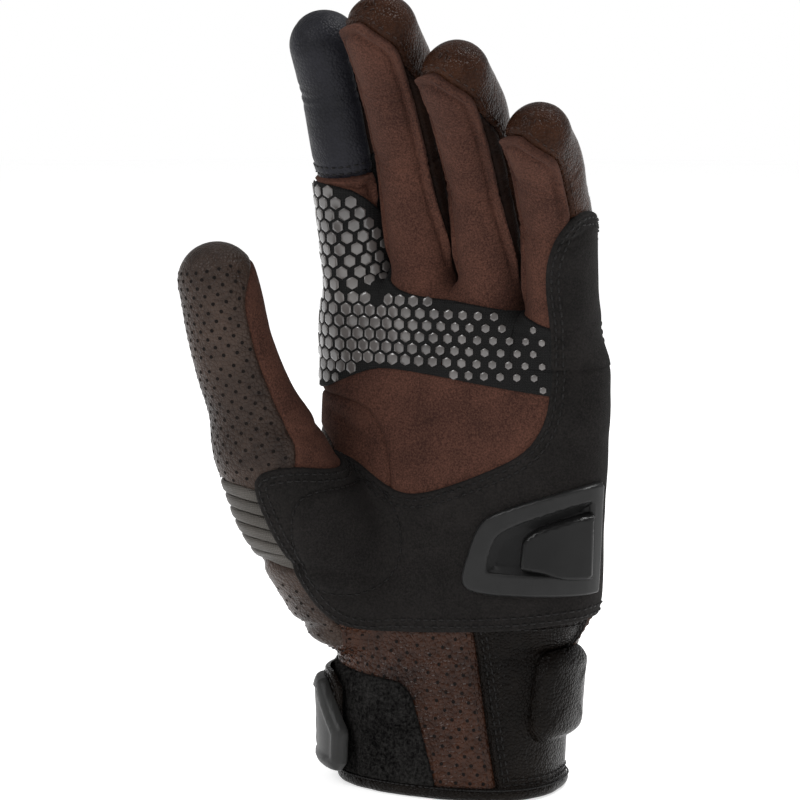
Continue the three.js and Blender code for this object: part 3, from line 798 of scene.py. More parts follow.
def flush(edge=0.9, width=1.7, ridge=0.0, at=1.5):
    """A panel level with its neighbours, sinking into the seam. A ridge is a welt beside the seam."""

    def profile(f):
        h = -edge * (1 - np.minimum(f / width, 1)) ** 2
        return h + ridge * np.exp(-(((f - at) / 0.85) ** 2))

    profile.levels = (0.3, 0.8, width) if not ridge else (0.4, 0.9, 1.5, 2.1, 2.8, 3.5, 4.4)
    return profile


def raised(low, high, radius):
    """A panel that stands on its neighbours, with a rounded edge."""

    def profile(f):
        return low + (high - low) * np.sqrt(1 - (1 - np.clip(f / radius, 0, 1)) ** 2)

    profile.levels = tuple(radius * share for share in (0.07, 0.25, 0.55, 1.0))
    return profile


def panel(S, field, profile, ripple=None, extra=None):
    """The part of S inside the field, lifted by the profile of the distance from its edge."""
    raw = field(S.P)
    S = Surface(S.D.copy(), S.T[(raw > -4)[S.T].any(1)]).compact()
    S.D[:, 12] = surface_distance(S, field)
    S = S.split(S.f)
    for level in profile.levels:
        S = S.split(S.f - level, keep_both=True)
    h = profile(S.f)
    if extra is not None:
        h = h + extra(S)
    if ripple is not None:
        h = h + ripple(S.P)
    S.D[:, 6:9] = S.P + S.N * h[:, None]
    S.D[:, 9:12] = vertex_normals(S.V, S.T)
    return S


def closed(S, under):
    """The panel with a flat back at the height under, its edge joined to the front's."""
    back = S.D.copy()
    back[:, 6:9] = S.P + S.N * under
    back[:, 9:12] = -S.N
    T = S.T[:, ::-1] + len(S.D)
    edges = np.concatenate([S.T[:, [0, 1]], S.T[:, [1, 2]], S.T[:, [2, 0]]])
    n = len(S.D)
    keys = np.minimum(edges[:, 0], edges[:, 1]) * n + np.maximum(edges[:, 0], edges[:, 1])
    _, first, count = np.unique(keys, return_index=True, return_counts=True)
    rim = edges[first[count == 1]]
    walls = np.concatenate(
        [
            np.stack([rim[:, 1], rim[:, 0], rim[:, 0] + n], 1),
            np.stack([rim[:, 1], rim[:, 0] + n, rim[:, 1] + n], 1),
        ]
    )
    made = Surface(np.concatenate([S.D, back]), np.concatenate([S.T, T, walls]))
    made.D[:, 9:12] = vertex_normals(made.V, made.T)
    return made


# ------------------------------------------------------------------ noise and creases


def value_noise(P, size, seed):
    """Smooth noise from -1 to 1 with features of the given size."""
    Q = P / size + seed * 17.31
    cell = np.floor(Q).astype(np.int64)
    t = Q - cell
    t = t * t * (3 - 2 * t)
    total = 0.0
    for i, j, k in CORNERS:
        c = cell + (i, j, k)
        mixed = (c[:, 0] * 73856093) ^ (c[:, 1] * 19349663) ^ (c[:, 2] * 83492791) ^ (seed * 2654435)
        mixed = (mixed ^ (mixed >> 13)) * 1274126177
        value = ((mixed ^ (mixed >> 16)) & 0xFFFF) / 32767.5 - 1
        weight = 1.0
        for axis, bit in enumerate((i, j, k)):
            weight = weight * (t[:, axis] if bit else 1 - t[:, axis])
        total = total + weight * value
    return total


def bell(value, centre, width):
    """A smooth bump: 1 at the centre, near 0 from twice the width on."""
    return np.exp(-(((value - centre) / width) ** 2))


def hand_ripple(P):
    """Height of the hand's unevenness, its folds at the wrist and the crease beside the thumb."""
    x, y, z = P.T
    h = 0.22 * value_noise(P, 11, 1) + 0.1 * value_noise(P, 5, 2)
    waver = 1.5 * value_noise(P, 16, 3)
    side = step(-x, 12, 32)
    h -= side * (1.9 * bell(z + waver, 52, 2.2) + 1.3 * bell(z + 0.4 * y + waver, 60, 2.0))
    h += side * 1.4 * bell(z + waver, 47.5, 3.0)
    h -= step(x, 20, 36) * step(-y, -8, 4) * 1.6 * bell(z + waver, 47.5, 2.2)
    h -= step(y, 2, 14) * (0.9 * bell(z + waver, 52, 2) + 0.8 * bell(z + waver, 45, 1.8))
    web = np.exp(-(((x + 30) / 10) ** 2) - ((z - 118) / 9) ** 2)
    h -= web * 0.9 * np.exp(-(((x * 0.5 + (z - 118) + 15 + waver) / 1.7) ** 2))
    return h


def finger_ripple(name):
    """Height of a finger's creases in front of its joints and the flutes behind its middle joint."""
    digit = DIGITS[name]
    l0, l1, _ = digit.bones
    seed = 11 + list(FINGERS).index(name)

    def ripple(P):
        s, angle = digit.coordinates(P)
        h = 0.2 * value_noise(P, 8, seed) + 0.08 * value_noise(P, 4, seed + 9)
        waver = 1.2 * value_noise(P, 9, seed + 5)
        front = step(np.cos(np.radians(angle)), -0.4, 0.5)
        for place, depth in ((0.0, 0.5), (l0, 0.8), (l0 + l1, 0.6)):
            for offset, share in ((-2.6, 0.6), (0.6, 1.0), (3.8, 0.5)):
                h -= front * depth * share * bell(s + waver, place + offset, 1.1)
            h += (1 - front) * 0.45 * bell(s, place, 6)
        backmost = step(np.abs(angle), 128, 150)
        flutes = np.cos((s - l0) * math.tau / 4.4) * step(11 - np.abs(s - l0), 0, 2)
        h += 0.55 * backmost * flutes
        share = step(P[:, 2], FINGER_CUT - 8, FINGER_CUT + 6)
        return h * share + hand_ripple(P) * (1 - share)

    return ripple


# ------------------------------------------------------------------ pieces in the scene


def to_model(P):
    return (np.asarray(P, float) + SHIFT) * MM


class Part:
    """A stretch of the glove: where it is, and the body that carries it. A stretch between two bodies names
    both and where its joint starts and ends, and its pieces are left unattached.
    """

    def __init__(self, name, region, body, other=None, start=None, end=None):
        self.name, self.region = name, region
        self.body, self.other, self.start, self.end = body, other, start, end

    def carry(self, obj):
        if self.other is None:
            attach(obj, self.body)
        else:
            self.body
            self.other
            tuple(self.start)
            tuple(self.end)
            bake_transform(obj)


def to_object(name, V, T, material, normals=None):
    mesh = bpy.data.meshes.new(name)
    mesh.vertices.add(len(V))
    mesh.vertices.foreach_set("co", np.ascontiguousarray(to_model(V), np.float32).ravel())
    mesh.loops.add(T.size)
    mesh.loops.foreach_set("vertex_index", T.astype(np.int32).ravel())
    mesh.polygons.add(len(T))
    mesh.polygons.foreach_set("loop_start", np.arange(0, T.size, 3, dtype=np.int32))
    mesh.update(calc_edges=True)
    mesh.validate()
    mesh.polygons.foreach_set("use_smooth", np.ones(len(mesh.polygons), bool))
    mesh.materials.append(MATERIALS[material])
    if normals is not None and len(mesh.vertices) == len(normals):
        mesh.normals_split_custom_set_from_vertices(normals)
    obj = bpy.data.objects.new(name, mesh)
    bpy.context.collection.objects.link(obj)
    return obj


def emit(name, S, material, part, replaces=()):
    """One piece of the glove from a surface, cut to its part and carried by it."""
    if part.region is not None:
        S = S.split(part.region(S.P))
    if len(S.T) < 8:
        return None
    normals = S.L / np.maximum(np.linalg.norm(S.L, axis=1), 1e-9)[:, None]
    return emit_bits(name, S.V, S.T, material, part, replaces, normals)


def emit_bits(name, V, T, material, part, replaces=(), normals=None):
    """One piece from plain points and triangles."""
    if len(T) == 0:
        return None
    obj = to_object(name, V, T, material, normals)
    part.carry(obj)
    if replaces:
        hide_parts(*replaces)
    return obj


# ------------------------------------------------------------------ small repeated shapes


def copies(template, faces, centre, along, up, size=None):
    """Copies of a template [along, across, up] at the centres."""
    if len(centre) == 0:
        return np.zeros((0, 3)), np.zeros((0, 3), int)
    along = along - (along * up).sum(1)[:, None] * up
    along /= np.maximum(np.linalg.norm(along, axis=1), 1e-9)[:, None]
    across = np.cross(up, along)
    template = np.asarray(template, float)
    scale = np.ones((len(centre), 3)) if size is None else size
    local = template[None] * scale[:, None]
    V = (
        centre[:, None]
        + local[..., :1] * along[:, None]
        + local[..., 1:2] * across[:, None]
        + local[..., 2:] * up[:, None]
    )
    T = np.asarray(faces)[None] + (np.arange(len(centre)) * len(template))[:, None, None]
    return V.reshape(-1, 3), T.reshape(-1, 3)


def ring_faces(rings, sides):
    """Triangles between stacked rings of points, which run the same way round."""
    faces = []
    for r in range(rings - 1):
        for i in range(sides):
            j = (i + 1) % sides
            a, b, c, d = (r * sides + i, r * sides + j, (r + 1) * sides + j, (r + 1) * sides + i)
            faces += [(a, b, c), (a, c, d)]
    return faces


def ring_shape(rings, sides):
    """Points and triangles of stacked rings given as (radius, height), closed at the top."""
    angles = np.linspace(0, math.tau, sides, endpoint=False)
    points = [(r * math.cos(a), r * math.sin(a), height) for r, height in rings for a in angles]
    points.append((0, 0, rings[-1][1]))
    top, base = len(points) - 1, (len(rings) - 1) * sides
    return points, ring_faces(len(rings), sides) + [
        (base + i, base + (i + 1) % sides, top) for i in range(sides)
    ]


STITCH = [  # a thread that dives at both ends: place along it, thickness, lift
    (-1, 0.15, -0.5),
    (-0.82, 0.8, 0.1),
    (-0.3, 1, 0.6),
    (0.3, 1, 0.6),
    (0.82, 0.8, 0.1),
    (1, 0.15, -0.5),
]
STITCH_SIDES = 7


def stitch_shape(length, radius):
    """A short thread along x."""
    angles = np.linspace(0, math.tau, STITCH_SIDES, endpoint=False)
    points = [
        (x * length / 2, radius * size * math.cos(a), radius * (size * math.sin(a) + lift))
        for x, size, lift in STITCH
        for a in angles
    ]
    return points, [(a, c, b) for a, b, c in ring_faces(len(STITCH), STITCH_SIDES)]


def sew_lines(lines, pitch=2.7):
    """A row for each stitch along the lines: the surface's columns there, then its direction."""
    rows = []
    for line in lines:
        V = line[:, 6:9]
        along = path_lengths(V)
        count = int(along[-1] / pitch)
        if count < 2:
            continue
        places = (np.arange(count) + 0.5) * along[-1] / count
        sample = np.stack([np.interp(places, along, c) for c in line.T], 1)
        ahead = np.stack([np.interp(places + 0.6, along, c) for c in V.T], 1)
        behind = np.stack([np.interp(places - 0.6, along, c) for c in V.T], 1)
        rows.append(np.concatenate([sample, ahead - behind], 1))
    return np.concatenate(rows) if rows else np.zeros((0, 16))


def stitches(rows, length, radius):
    """A stitch at each row of sew_lines."""
    up = unit_rows(rows[:, 9:12])
    return copies(*stitch_shape(length, radius), rows[:, 6:9], rows[:, 13:16], up)


def seam(S, level, length, radius):
    """Stitches along the curve at the given distance inside the panel's edge."""
    return stitches(sew_lines(S.lines(S.f - level)), length, radius)


def join_bits(bits):
    bits = [b for b in bits if len(b[1])]
    if not bits:
        return np.zeros((0, 3)), np.zeros((0, 3), int)
    offsets = np.cumsum([0] + [len(V) for V, _ in bits[:-1]])
    return np.concatenate([V for V, _ in bits]), np.concatenate([T + o for (_, T), o in zip(bits, offsets)])


def kept_bits(bits, P, region):
    """The copies whose base points lie in the region. All copies have the same size."""
    V, T = bits
    if len(P) == 0:
        return bits
    inside = region(P) > 0
    v_each, t_each = len(V) // len(P), len(T) // len(P)
    V = V.reshape(len(P), v_each, 3)[inside].reshape(-1, 3)
    T = (T.reshape(len(P), t_each, 3) - (np.arange(len(P)) * v_each)[:, None, None])[inside]
    T = (T + (np.arange(len(T)) * v_each)[:, None, None]).reshape(-1, 3)
    return V, T


def emit_stitches(name, bits, material, part):
    """Stitches whose middles lie in the part's region."""
    kept = []
    for V, T in bits:
        middles = V.reshape(-1, len(STITCH) * STITCH_SIDES, 3).mean(1)
        kept.append(kept_bits((V, T), middles, part.region) if part.region else (V, T))
    return emit_bits(name, *join_bits(kept), material, part)


# ------------------------------------------------------------------ parts of the glove and their bodies


def thumb_side(P):
    """Positive on the thumb, from just above its root."""
    s, _ = THUMB.coordinates(P)
    return np.minimum(s - 2, palm_body(P) - THUMB(P) + 4)


def hand_side(P):
    return np.minimum(-thumb_side(P), FINGER_CUT - P[:, 2])


def along_digit(digit, low, high, region):
    """Positive between two lengths along a digit and in the region. None sets no limit."""

    def field(P):
        s, _ = digit.coordinates(P)
        limits = [region(P)] if region else []
        if low is not None:
            limits.append(s - low)
        if high is not None:
            limits.append(high - s)
        return np.minimum.reduce(limits)

    return field


def slab_of_body(name):
    """The slab up to the crotch; above it the finger stands free."""
    low, high = SLABS[name]

    def field(P):
        free = (P[:, 2] - FREE) * 4
        inside = np.minimum(P[:, 0] - low, high - P[:, 0])
        return np.minimum(np.maximum(inside, free), P[:, 2] - FINGER_CUT)

    return field


def bend_points(digit, s, reach):
    """Two points on the digit's own line, reach before and after the joint at length s."""
    centre, e = digit.at(s)
    return to_model(centre - e * reach), to_model(centre + e * reach)


HAND = Part("hand", hand_side, "cuff", "hand", to_model((0, 0, 38)), to_model((0, 0, 56)))
CUFF = Part("cuff", None, "cuff")
STRAP = Part("strap", None, "strap")
RIGID_HAND = Part("hand", None, "hand")  # for what the hand's body carries whole


def digit_parts(bodies, digit, regions, cuts, joints):
    """A digit's parts between the cuts along it, each between the body before it and its own, with its
    joint's ends.
    """
    ends = [None, *cuts, None]
    parts = []
    for i, (start, end) in enumerate(joints):
        field = along_digit(digit, ends[i], ends[i + 1], regions[i])
        parts.append(Part(bodies[i + 1], field, bodies[i], bodies[i + 1], start, end))
    return parts


def thumb_parts():
    root, direction = THUMB.at(0)
    base = to_model(root + direction * 2), to_model(root + direction * 25)
    bodies = ["hand", "thumb_proximal", "thumb_distal"]
    tip = THUMB_BONES[0]
    return digit_parts(bodies, THUMB, [thumb_side] * 2, [tip - 8], [base, bend_points(THUMB, tip, 8)])


BONES = ("proximal", "middle", "distal")


def finger_parts(name):
    digit = DIGITS[name]
    l0, l1, _ = digit.bones
    joints = [bend_points(digit, *place) for place in ((0, 11), (l0, 9), (l0 + l1, 9))]
    bodies = ["hand", *(f"{name}_{bone}" for bone in BONES)]
    regions = [slab_of_body(name), None, None]
    return digit_parts(bodies, digit, regions, [l0 * 0.52, l0 + l1 * 0.5], joints)


# ------------------------------------------------------------------ outlines on the palm

# Points are (x, z). An outline that is cut by another field runs on past it.
HEM = 47.0  # height where the cuff meets the hand
CUFF_START = 2.5  # height of the cuff's panels over the bound rim
THUMB_SEAM = [(-17, 117), (-14, 104), (-14, 92)]
PALM_OUTLINE = [(80, 30), (80, 200), (-80, 200), (-80, 128), (-27, 128), *THUMB_SEAM, (-31, 92), (-25, 40)]
GUSSET_OUTLINE = [
    *THUMB_SEAM[::-1], (-27, 128), (-80, 128), (-80, 230), (-120, 230), (-120, 100), (-35.4, 100),
    (-31.9, 92),
]
OVERLAY_OUTLINE = [
    (-46, 102), (-43, 107.5), (-34, 109.5), (-27, 107.5), (-19.5, 102.5), (-12, 98.5), (-5, 97.8),
    (5, 100.5), (18.5, 106), (31.5, 112.5), (37.5, 121), (39.5, 131), (39.5, 153), (39, 170),
    (42, 180), (52, 193), (70, 200), (70, 120), (70, 61), (52, 59.5), (33, 56.5), (17, 55),
    (-8, 53), (-21, 53), (-29, 57), (-35, 66), (-40, 84),
]
GRIP_OUTLINE = [
    (-80, 127), (-45, 128), (-33.5, 133), (-23.4, 137), (-16, 138), (0, 136.6), (21, 133.8),
    (38, 131.6), (46, 130.5), (46, 152), (38, 153.4), (30, 156.6), (13.6, 160), (-4, 161.3),
    (-14.6, 163.6), (-19.4, 168), (-21.4, 176), (-22.2, 185), (-25, 192), (-32, 196.5), (-80, 199),
]
SLIDER_OUTLINE = [
    (13, 74), (13.5, 70.5), (16, 68.2), (25, 67.2), (70, 67.6), (70, 110), (44, 101.5), (32, 97.5),
    (21, 93), (17, 88),
]
SLIDER_WINDOW = [
    (20.2, 74), (20.5, 80), (23.2, 87.4), (29, 91.1), (38.3, 94.8), (46, 98), (70, 106), (70, 73.2),
    (40, 73.4), (28, 73.6),
]
PUCK_OUTLINE = [
    (31.5, 76), (31.8, 81), (32.3, 86.2), (36, 89.4), (42.7, 92.2), (53, 95.6), (70, 101),
    (70, 72.6), (48, 72.6), (42.7, 73), (37.5, 75.2),
]
THENAR_PAD = [
    (-33, 101.5), (-18, 100.5), (-10.5, 93), (-7.4, 81), (-11.5, 70), (-22, 65), (-33, 69),
    (-36, 85),
]
BACK_CENTRE = [(-16, 50), (-24, 80), (-27, 112), (-22, 120), (26, 118), (31, 110), (28, 80), (20, 50)]
GUARD_OUTLINE = [
    (-37, 138), (-34, 147), (-14, 150), (8, 149), (26, 142), (36, 133), (32, 123), (14, 127),
    (-14, 128), (-32, 127),
]
ACCORDION = (73.0, 98.0)  # heights of the stretch insert's ends
RIBS = 6
DEGREE = 0.56  # millimetres round the cuff
THUMB_RADIUS = 13.6
HOLE_RADIUS = 0.56
HOLE_RINGS = [(1.2, -0.15), (1, 0.1), (0.75, 0.08), (0.4, 0.03)]  # share of the radius, height
CELL = {"hand": 1.25, "finger": 1.1}  # the meshes' spacing


def outer_edge(P):
    """Positive on the thumb side of the palm suede's edge."""
    z = P[:, 2]
    return np.where(z > 112, -36.0, -26 - 10 * np.clip((z - 40) / 72, 0, 1)) - P[:, 0]


before_seam = in_front_of(SIDE_SEAM)


def behind_seam(P):
    return P[:, 1] - SIDE_SEAM


def overlay_back(P):
    """The reinforcement wraps further back on the little-finger side."""
    return 1 + 12 * step(P[:, 0], 10, 40) - P[:, 1]


def sector(low, high):
    """A cuff field: millimetres inside the angles low..high."""

    def field(P):
        middle, half = (low + high) / 2, (high - low) / 2
        off = np.abs((column_angle(P) - middle + 180) % 360 - 180)
        return (half - off) * DEGREE

    return field


def between(low, high):
    """A field: millimetres inside the heights low..high."""
    return lambda P: np.minimum(P[:, 2] - low, high - P[:, 2])


def left_of_border(P):
    """The cuff's front border between brown and black leather leans over."""
    line = 25.9 - 0.172 * P[:, 2] - P[:, 0]
    return np.where(P[:, 1] < 0, line, -40 * np.sign(P[:, 0]))


def under_hem(P):
    """The cuff's front runs up under the reinforcement's hem."""
    top = HEM + 14 * step(P[:, 0], -32, -22) * step(-P[:, 1], -3, 2)
    return np.minimum(P[:, 2] - CUFF_START, top - P[:, 2])


overlay_field = both(polygon(OVERLAY_OUTLINE), overlay_back)
grip_field = both(polygon(GRIP_OUTLINE), before_seam, lambda P: 1.5 - overlay_field(P))
back_centre_field = polygon(BACK_CENTRE, 2, 0.12)
cuff_front_field = both(sector(176, 340), left_of_border, under_hem)
RAISED_SUEDE = raised(-0.2, 1.35, 0.9)
RAISED_GRIP = raised(-0.2, 1.15, 0.8)


# ------------------------------------------------------------------ the hand


def rib_height(P):
    """How far the stretch insert's ribs lie below level here."""
    return 0.16 * (P[:, 0] + 45) + 0.1 * (P[:, 1] + 20)


def under_ribs(P):
    return ACCORDION[0] - rib_height(P) - P[:, 2]


def over_ribs(P):
    return P[:, 2] + rib_height(P) - ACCORDION[1]


def merged(surfaces):
    """Several surfaces as one."""
    starts = np.cumsum([0] + [len(S.D) for S in surfaces[:-1]])
    T = np.concatenate([S.T + start for S, start in zip(surfaces, starts)])
    return Surface(np.concatenate([S.D for S in surfaces]), T)


def thumb_suede(P):
    """Positive on the thumb's suede: near the middle line of its pad, along the surface."""
    half_width, round_tip, bluntness = 21.0, 24, 1.2
    s, angle = THUMB.coordinates(P)
    beyond = np.maximum(0, s - (THUMB.total - round_tip))
    return half_width - np.sqrt((np.radians(angle) * THUMB_RADIUS) ** 2 + (bluntness * beyond) ** 2)


def thumb_holes(pitch=4.3, spacing=3.0, lowest=101, margin=1.7):
    """Where the thumb's holes are: in rows round its back, clear of the suede."""
    points = []
    count = int(math.tau * THUMB_RADIUS / pitch)
    for row, s in enumerate(np.arange(-9, THUMB.total - 5, pitch * 0.64)):
        centre, e = THUMB.at(max(s, 0))
        centre = centre + e * min(s, 0)
        n, side = around(e, THUMB.across)
        for i in range(count):
            a = math.tau * (i + 0.5 * (row % 2)) / count
            if 80 < math.degrees(a) < 280:
                points.append(centre + (side * math.sin(a) + n * math.cos(a)) * 13)
    P = settle(hand_body, np.array(points), 6)
    P = P[np.minimum(-thumb_suede(P), P[:, 2] - lowest) > margin]
    return P[spaced(P, spacing)]


def spaced(P, distance):
    """False for each point that is nearer than the distance to an earlier one."""
    gaps = np.linalg.norm(P[:, None] - P[None], axis=2)
    return ~(np.tril(gaps < distance, -1)).any(1)


def emit_holes(P, parts):
    """Punched holes on the hand: each a dish with a rolled rim on the uncut leather, dark for the lining
    behind a hole and with painted shade down it.
    """
    N = outward(hand_body, P)
    rings = [(share * HOLE_RADIUS, height) for share, height in HOLE_RINGS]
    along = np.tile([0.3, 0.2, 1.0], (len(P), 1))
    bits = copies(*ring_shape(rings, 9), P + N * hand_ripple(P)[:, None], along, N)
    for part in parts:
        emit_bits(f"perforations_{part.name}", *kept_bits(bits, P, part.region), "hole", part)


def core_of(S, ripple, depth):
    """The surface that shows in the seams between panels."""
    core = Surface(S.D.copy(), S.T)
    core.D[:, 6:9] = S.P + S.N * (ripple(S.P) - depth)[:, None]
    return core


def hand_panel(S, name, field, material, parts, replaces, profile=flush()):
    """A panel of the hand, as one piece on each of its parts."""
    made = panel(S, field, profile, hand_ripple)
    for part in parts:
        first = part is parts[0]
        label = name if first else f"{name}_{part.name}"
        emit(label, made, material, part, replaces if first else ())
    return made


def clear_of_overlay(P):
    return 2.5 - overlay_field(P)


def clear_of_thumb(P):
    return 3.0 - thumb_side(P)


def thumb_border(P):
    """Positive on the suede side of the thumb's long border."""
    s, _ = THUMB.coordinates(P)
    share = step(s, -14, 4)
    return -outer_edge(P) * (1 - share) + thumb_suede(P) * share


def on_thumb(P):
    """Lifts the limits of the hand's panels where they run on up the thumb."""
    return 60 * step(thumb_side(P), -3, 0)


def make_thumb_panels(S, parts):
    """The suede gusset, and the perforated side with the ribbed stretch insert below it."""
    gusset = polygon(GUSSET_OUTLINE)

    def inner(P):
        return np.minimum(thumb_border(P), np.minimum(gusset(P), before_seam(P)) + on_thumb(P))

    def outer(P):
        return np.minimum(-thumb_border(P), before_seam(P) + on_thumb(P))

    nodes = ("thumb_gusset", "thumb_proximal_palm", "thumb_distal_palm")
    hand_panel(S, "thumb_gusset", both(inner, clear_of_overlay, above(88)), "suede", parts, nodes)
    nodes = ("thenar_side_upper", "thumb_proximal_back", "thumb_distal_back")
    field = both(outer, over_ribs, clear_of_overlay)
    hand_panel(S, "thenar_side_upper", field, "perforated", parts, nodes, flush(0.7, 1.5))

    side = both(outer_edge, before_seam, clear_of_overlay, clear_of_thumb)
    ribs = []
    for low in np.linspace(*ACCORDION, RIBS + 1)[:-1]:
        band = between(low, low + (ACCORDION[1] - ACCORDION[0]) / RIBS)
        tilted = lambda P, band=band: band(P + rib_height(P)[:, None] * np.array([0, 0, 1.0]))
        ribs.append(panel(S, both(side, tilted), raised(-1.3, 0.45, 1.5), hand_ripple))
    emit("thenar_stretch_panel", merged(ribs), "stretch", HAND, ("thenar_stretch_panel",))
    field = both(side, above(HEM), under_ribs)
    nodes = ("thenar_side_lower",)
    hand_panel(S, "thenar_side_lower", field, "perforated", [HAND], nodes)


def make_back(S):
    """The back of the hand and its perforated centre: their stitches."""
    field = both(back_centre_field, behind_seam, above(HEM))
    profile = flush(0.9, 1.7, 0.5, 1.6)
    centre = hand_panel(S, "back_centre", field, "perforated_dark", [HAND], (), profile)
    field = both(behind_seam, above(HEM), lambda P: -back_centre_field(P))
    nodes, profile = ("back_panel", "hand_lining"), flush(0.9, 1.7, 0.4, 1.6)
    back = hand_panel(S, "back_panel", field, "leather", [HAND], nodes, profile)
    return [seam(centre, 3.4, 1.8, 0.24), seam(back, 3.6, 1.8, 0.24)]


def make_cuff_panels(S):
    """The cuff's three leather panels: their brown and black stitches."""
    name = "cuff_palm_panel"
    front = hand_panel(S, name, cuff_front_field, "perforated_dark", [HAND], (name,))
    name, field = "cuff_ulnar_panel", both(sector(240, 420), lambda P: -left_of_border(P), under_hem)
    profile = flush(0.9, 1.7, ridge=0.9, at=1.6)
    ulnar = hand_panel(S, name, field, "black_leather", [HAND], (name,), profile)
    name, field = "cuff_back_panel", both(sector(60, 176), between(CUFF_START, HEM))
    back = hand_panel(S, name, field, "leather", [HAND], (name,))
    brown = [seam(back, 2.2, 1.8, 0.26), seam(front, 2.2, 1.8, 0.26)]
    return brown, [seam(ulnar, level, 1.8, 0.28) for level in (2.9, 4.6)]


def make_overlay(S):
    """The black reinforcement with the stitched oval pad at the ball of the thumb."""
    pad = polygon(THENAR_PAD, 3)

    def bulge(S):
        return 1.0 * step(pad(S.P), -2.5, 2.5) - 0.75 * bell(pad(S.P), 0, 1.0)

    overlay = panel(S, overlay_field, RAISED_SUEDE, hand_ripple, bulge)
    emit("palm_overlay", overlay, "black_suede", HAND, ("palm_overlay",))
    hem = [seam(overlay, level, 2.0, 0.3) for level in (2.0, 4.2)]
    return [*hem, stitches(sew_lines(overlay.lines(pad(overlay.P) - 0.2)), 2.0, 0.26)]


def make_hand():
    """The hand with the thumb and the cuff: all its panels and stitches. Gives back its surface."""
    S = surface_of(hand_body, (-77, -66, -1), (62, 34, 196), CELL["hand"])
    keep = (S.P[:, 2] < FINGER_CUT + 13) | (thumb_side(S.P) > -1)
    S = Surface(S.D, S.T[keep[S.T].all(1)]).compact()
    S = S.split(S.P[:, 2] - 0.5)
    parts = [HAND, *thumb_parts()]
    core = core_of(S, hand_ripple, 1.1)
    for part in parts:
        emit(f"{part.name}_core", core, "lining", part)

    palm = both(polygon(PALM_OUTLINE), before_seam, above(60), clear_of_overlay, clear_of_thumb)
    hand_panel(S, "palm_panel", palm, "suede", [HAND], ("palm_panel", "thenar_pad", "heel_pad"))
    make_thumb_panels(S, parts)
    back_brown = make_back(S)
    cuff_brown, cuff_black = make_cuff_panels(S)
    black = make_overlay(S) + cuff_black
    grip = panel(S, grip_field, RAISED_GRIP, hand_ripple)
    emit("grip_patch", grip, "grip_base", HAND, ("grip_patch",))
    emit_stitches("palm_stitching", black, "thread_black", HAND)
    emit_stitches("back_stitching", back_brown + cuff_brown, "thread_brown", HAND)
    emit_holes(thumb_holes(), parts)
    return S


# ------------------------------------------------------------------ the fingers

FINGER_RADIUS = 12.0
PAD_END = 1.15  # how bluntly a pad ends at the fingertip
FRONT_WIDTH = 14.5  # half width of a finger's suede front, along its surface
TOUCH_START = 38.0  # length along the index finger where the touch leather begins
BOXES = {"index": (-53, -13), "middle": (-27, 11), "ring": (-4, 35), "little": (19, 59)}
OUTER = {"index": -1, "middle": 0, "ring": 0, "little": 1}  # the side with no finger beside it


class FingerFields:
    """The borders of a finger's panels, all measured from the pad's middle line."""

    def __init__(self, name):
        self.name, self.digit = name, DIGITS[name]
        self.total = self.digit.total

    def measure(self, P):
        s, angle = self.digit.coordinates(P)
        turn = 0 if self.name == "index" else -20 * step(s, 5, 40)
        beyond = 0 if self.name == "index" else np.maximum(0, s - (self.total - 14.5))
        m = np.sqrt((np.radians(angle - turn) * FINGER_RADIUS) ** 2 + (beyond * PAD_END) ** 2)
        width = FRONT_WIDTH + (math.pi / 2 * FINGER_RADIUS - FRONT_WIDTH) * (1 - step(s, -8, 10))
        if self.name == "index":
            width = width + 27 * step(s, self.total - 14, self.total - 4)
        outer = OUTER[self.name] * angle > 0
        strip = 5.5 * step(s, -4, 8) * (1 - step(s, self.total - 34, self.total - 16))
        return s, m, width, width + np.where(outer, 0, strip)

    def front(self, P):
        s, m, width, _ = self.measure(P)
        f = width - m
        return np.minimum(f, TOUCH_START - s) if self.name == "index" else f

    def touch(self, P):
        s, m, width, _ = self.measure(P)
        return np.minimum(width - m, s - TOUCH_START)

    def strip(self, P):
        _, m, width, far = self.measure(P)
        return np.minimum(m - width, far - m)

    def back(self, P):
        _, m, _, far = self.measure(P)
        return m - far

    def wedge(self, P):
        """The black stretch wedge beside the index finger's base."""
        s, _ = self.digit.coordinates(P)
        return np.minimum(self.strip(P), TOUCH_START + 6 - s)

    def upper_strip(self, P):
        s, _ = self.digit.coordinates(P)
        return np.minimum(self.strip(P), s - TOUCH_START - 6)


def make_touch(S, fields, ripple, parts):
    """The index fingertip's touch leather: its stitches."""
    touch = panel(S, fields.touch, flush(0.7, 1.4), ripple)
    for part in parts:
        node = ("index_distal_palm",) if part is parts[2] else ()
        emit(f"{part.name}_touch", touch, "touch_leather", part, node)
    s, _ = fields.digit.coordinates(touch.P)
    lines = [touch.lines(s - TOUCH_START - level) for level in (1.8, 4.0)]
    return [stitches(sew_lines(line, 2.4), 1.7, 0.24) for line in lines]


def make_little_overlay(S, ripple, parts):
    """The reinforcement where it runs on up the little finger: its stitches."""
    overlay = panel(S, overlay_field, RAISED_SUEDE, ripple)
    emit("overlay_little", overlay, "black_suede", parts[0], ("overlay_little",))
    emit("overlay_little_upper", overlay, "black_suede", parts[1])
    return [seam(overlay, level, 2.0, 0.3) for level in (2.0, 4.2)]


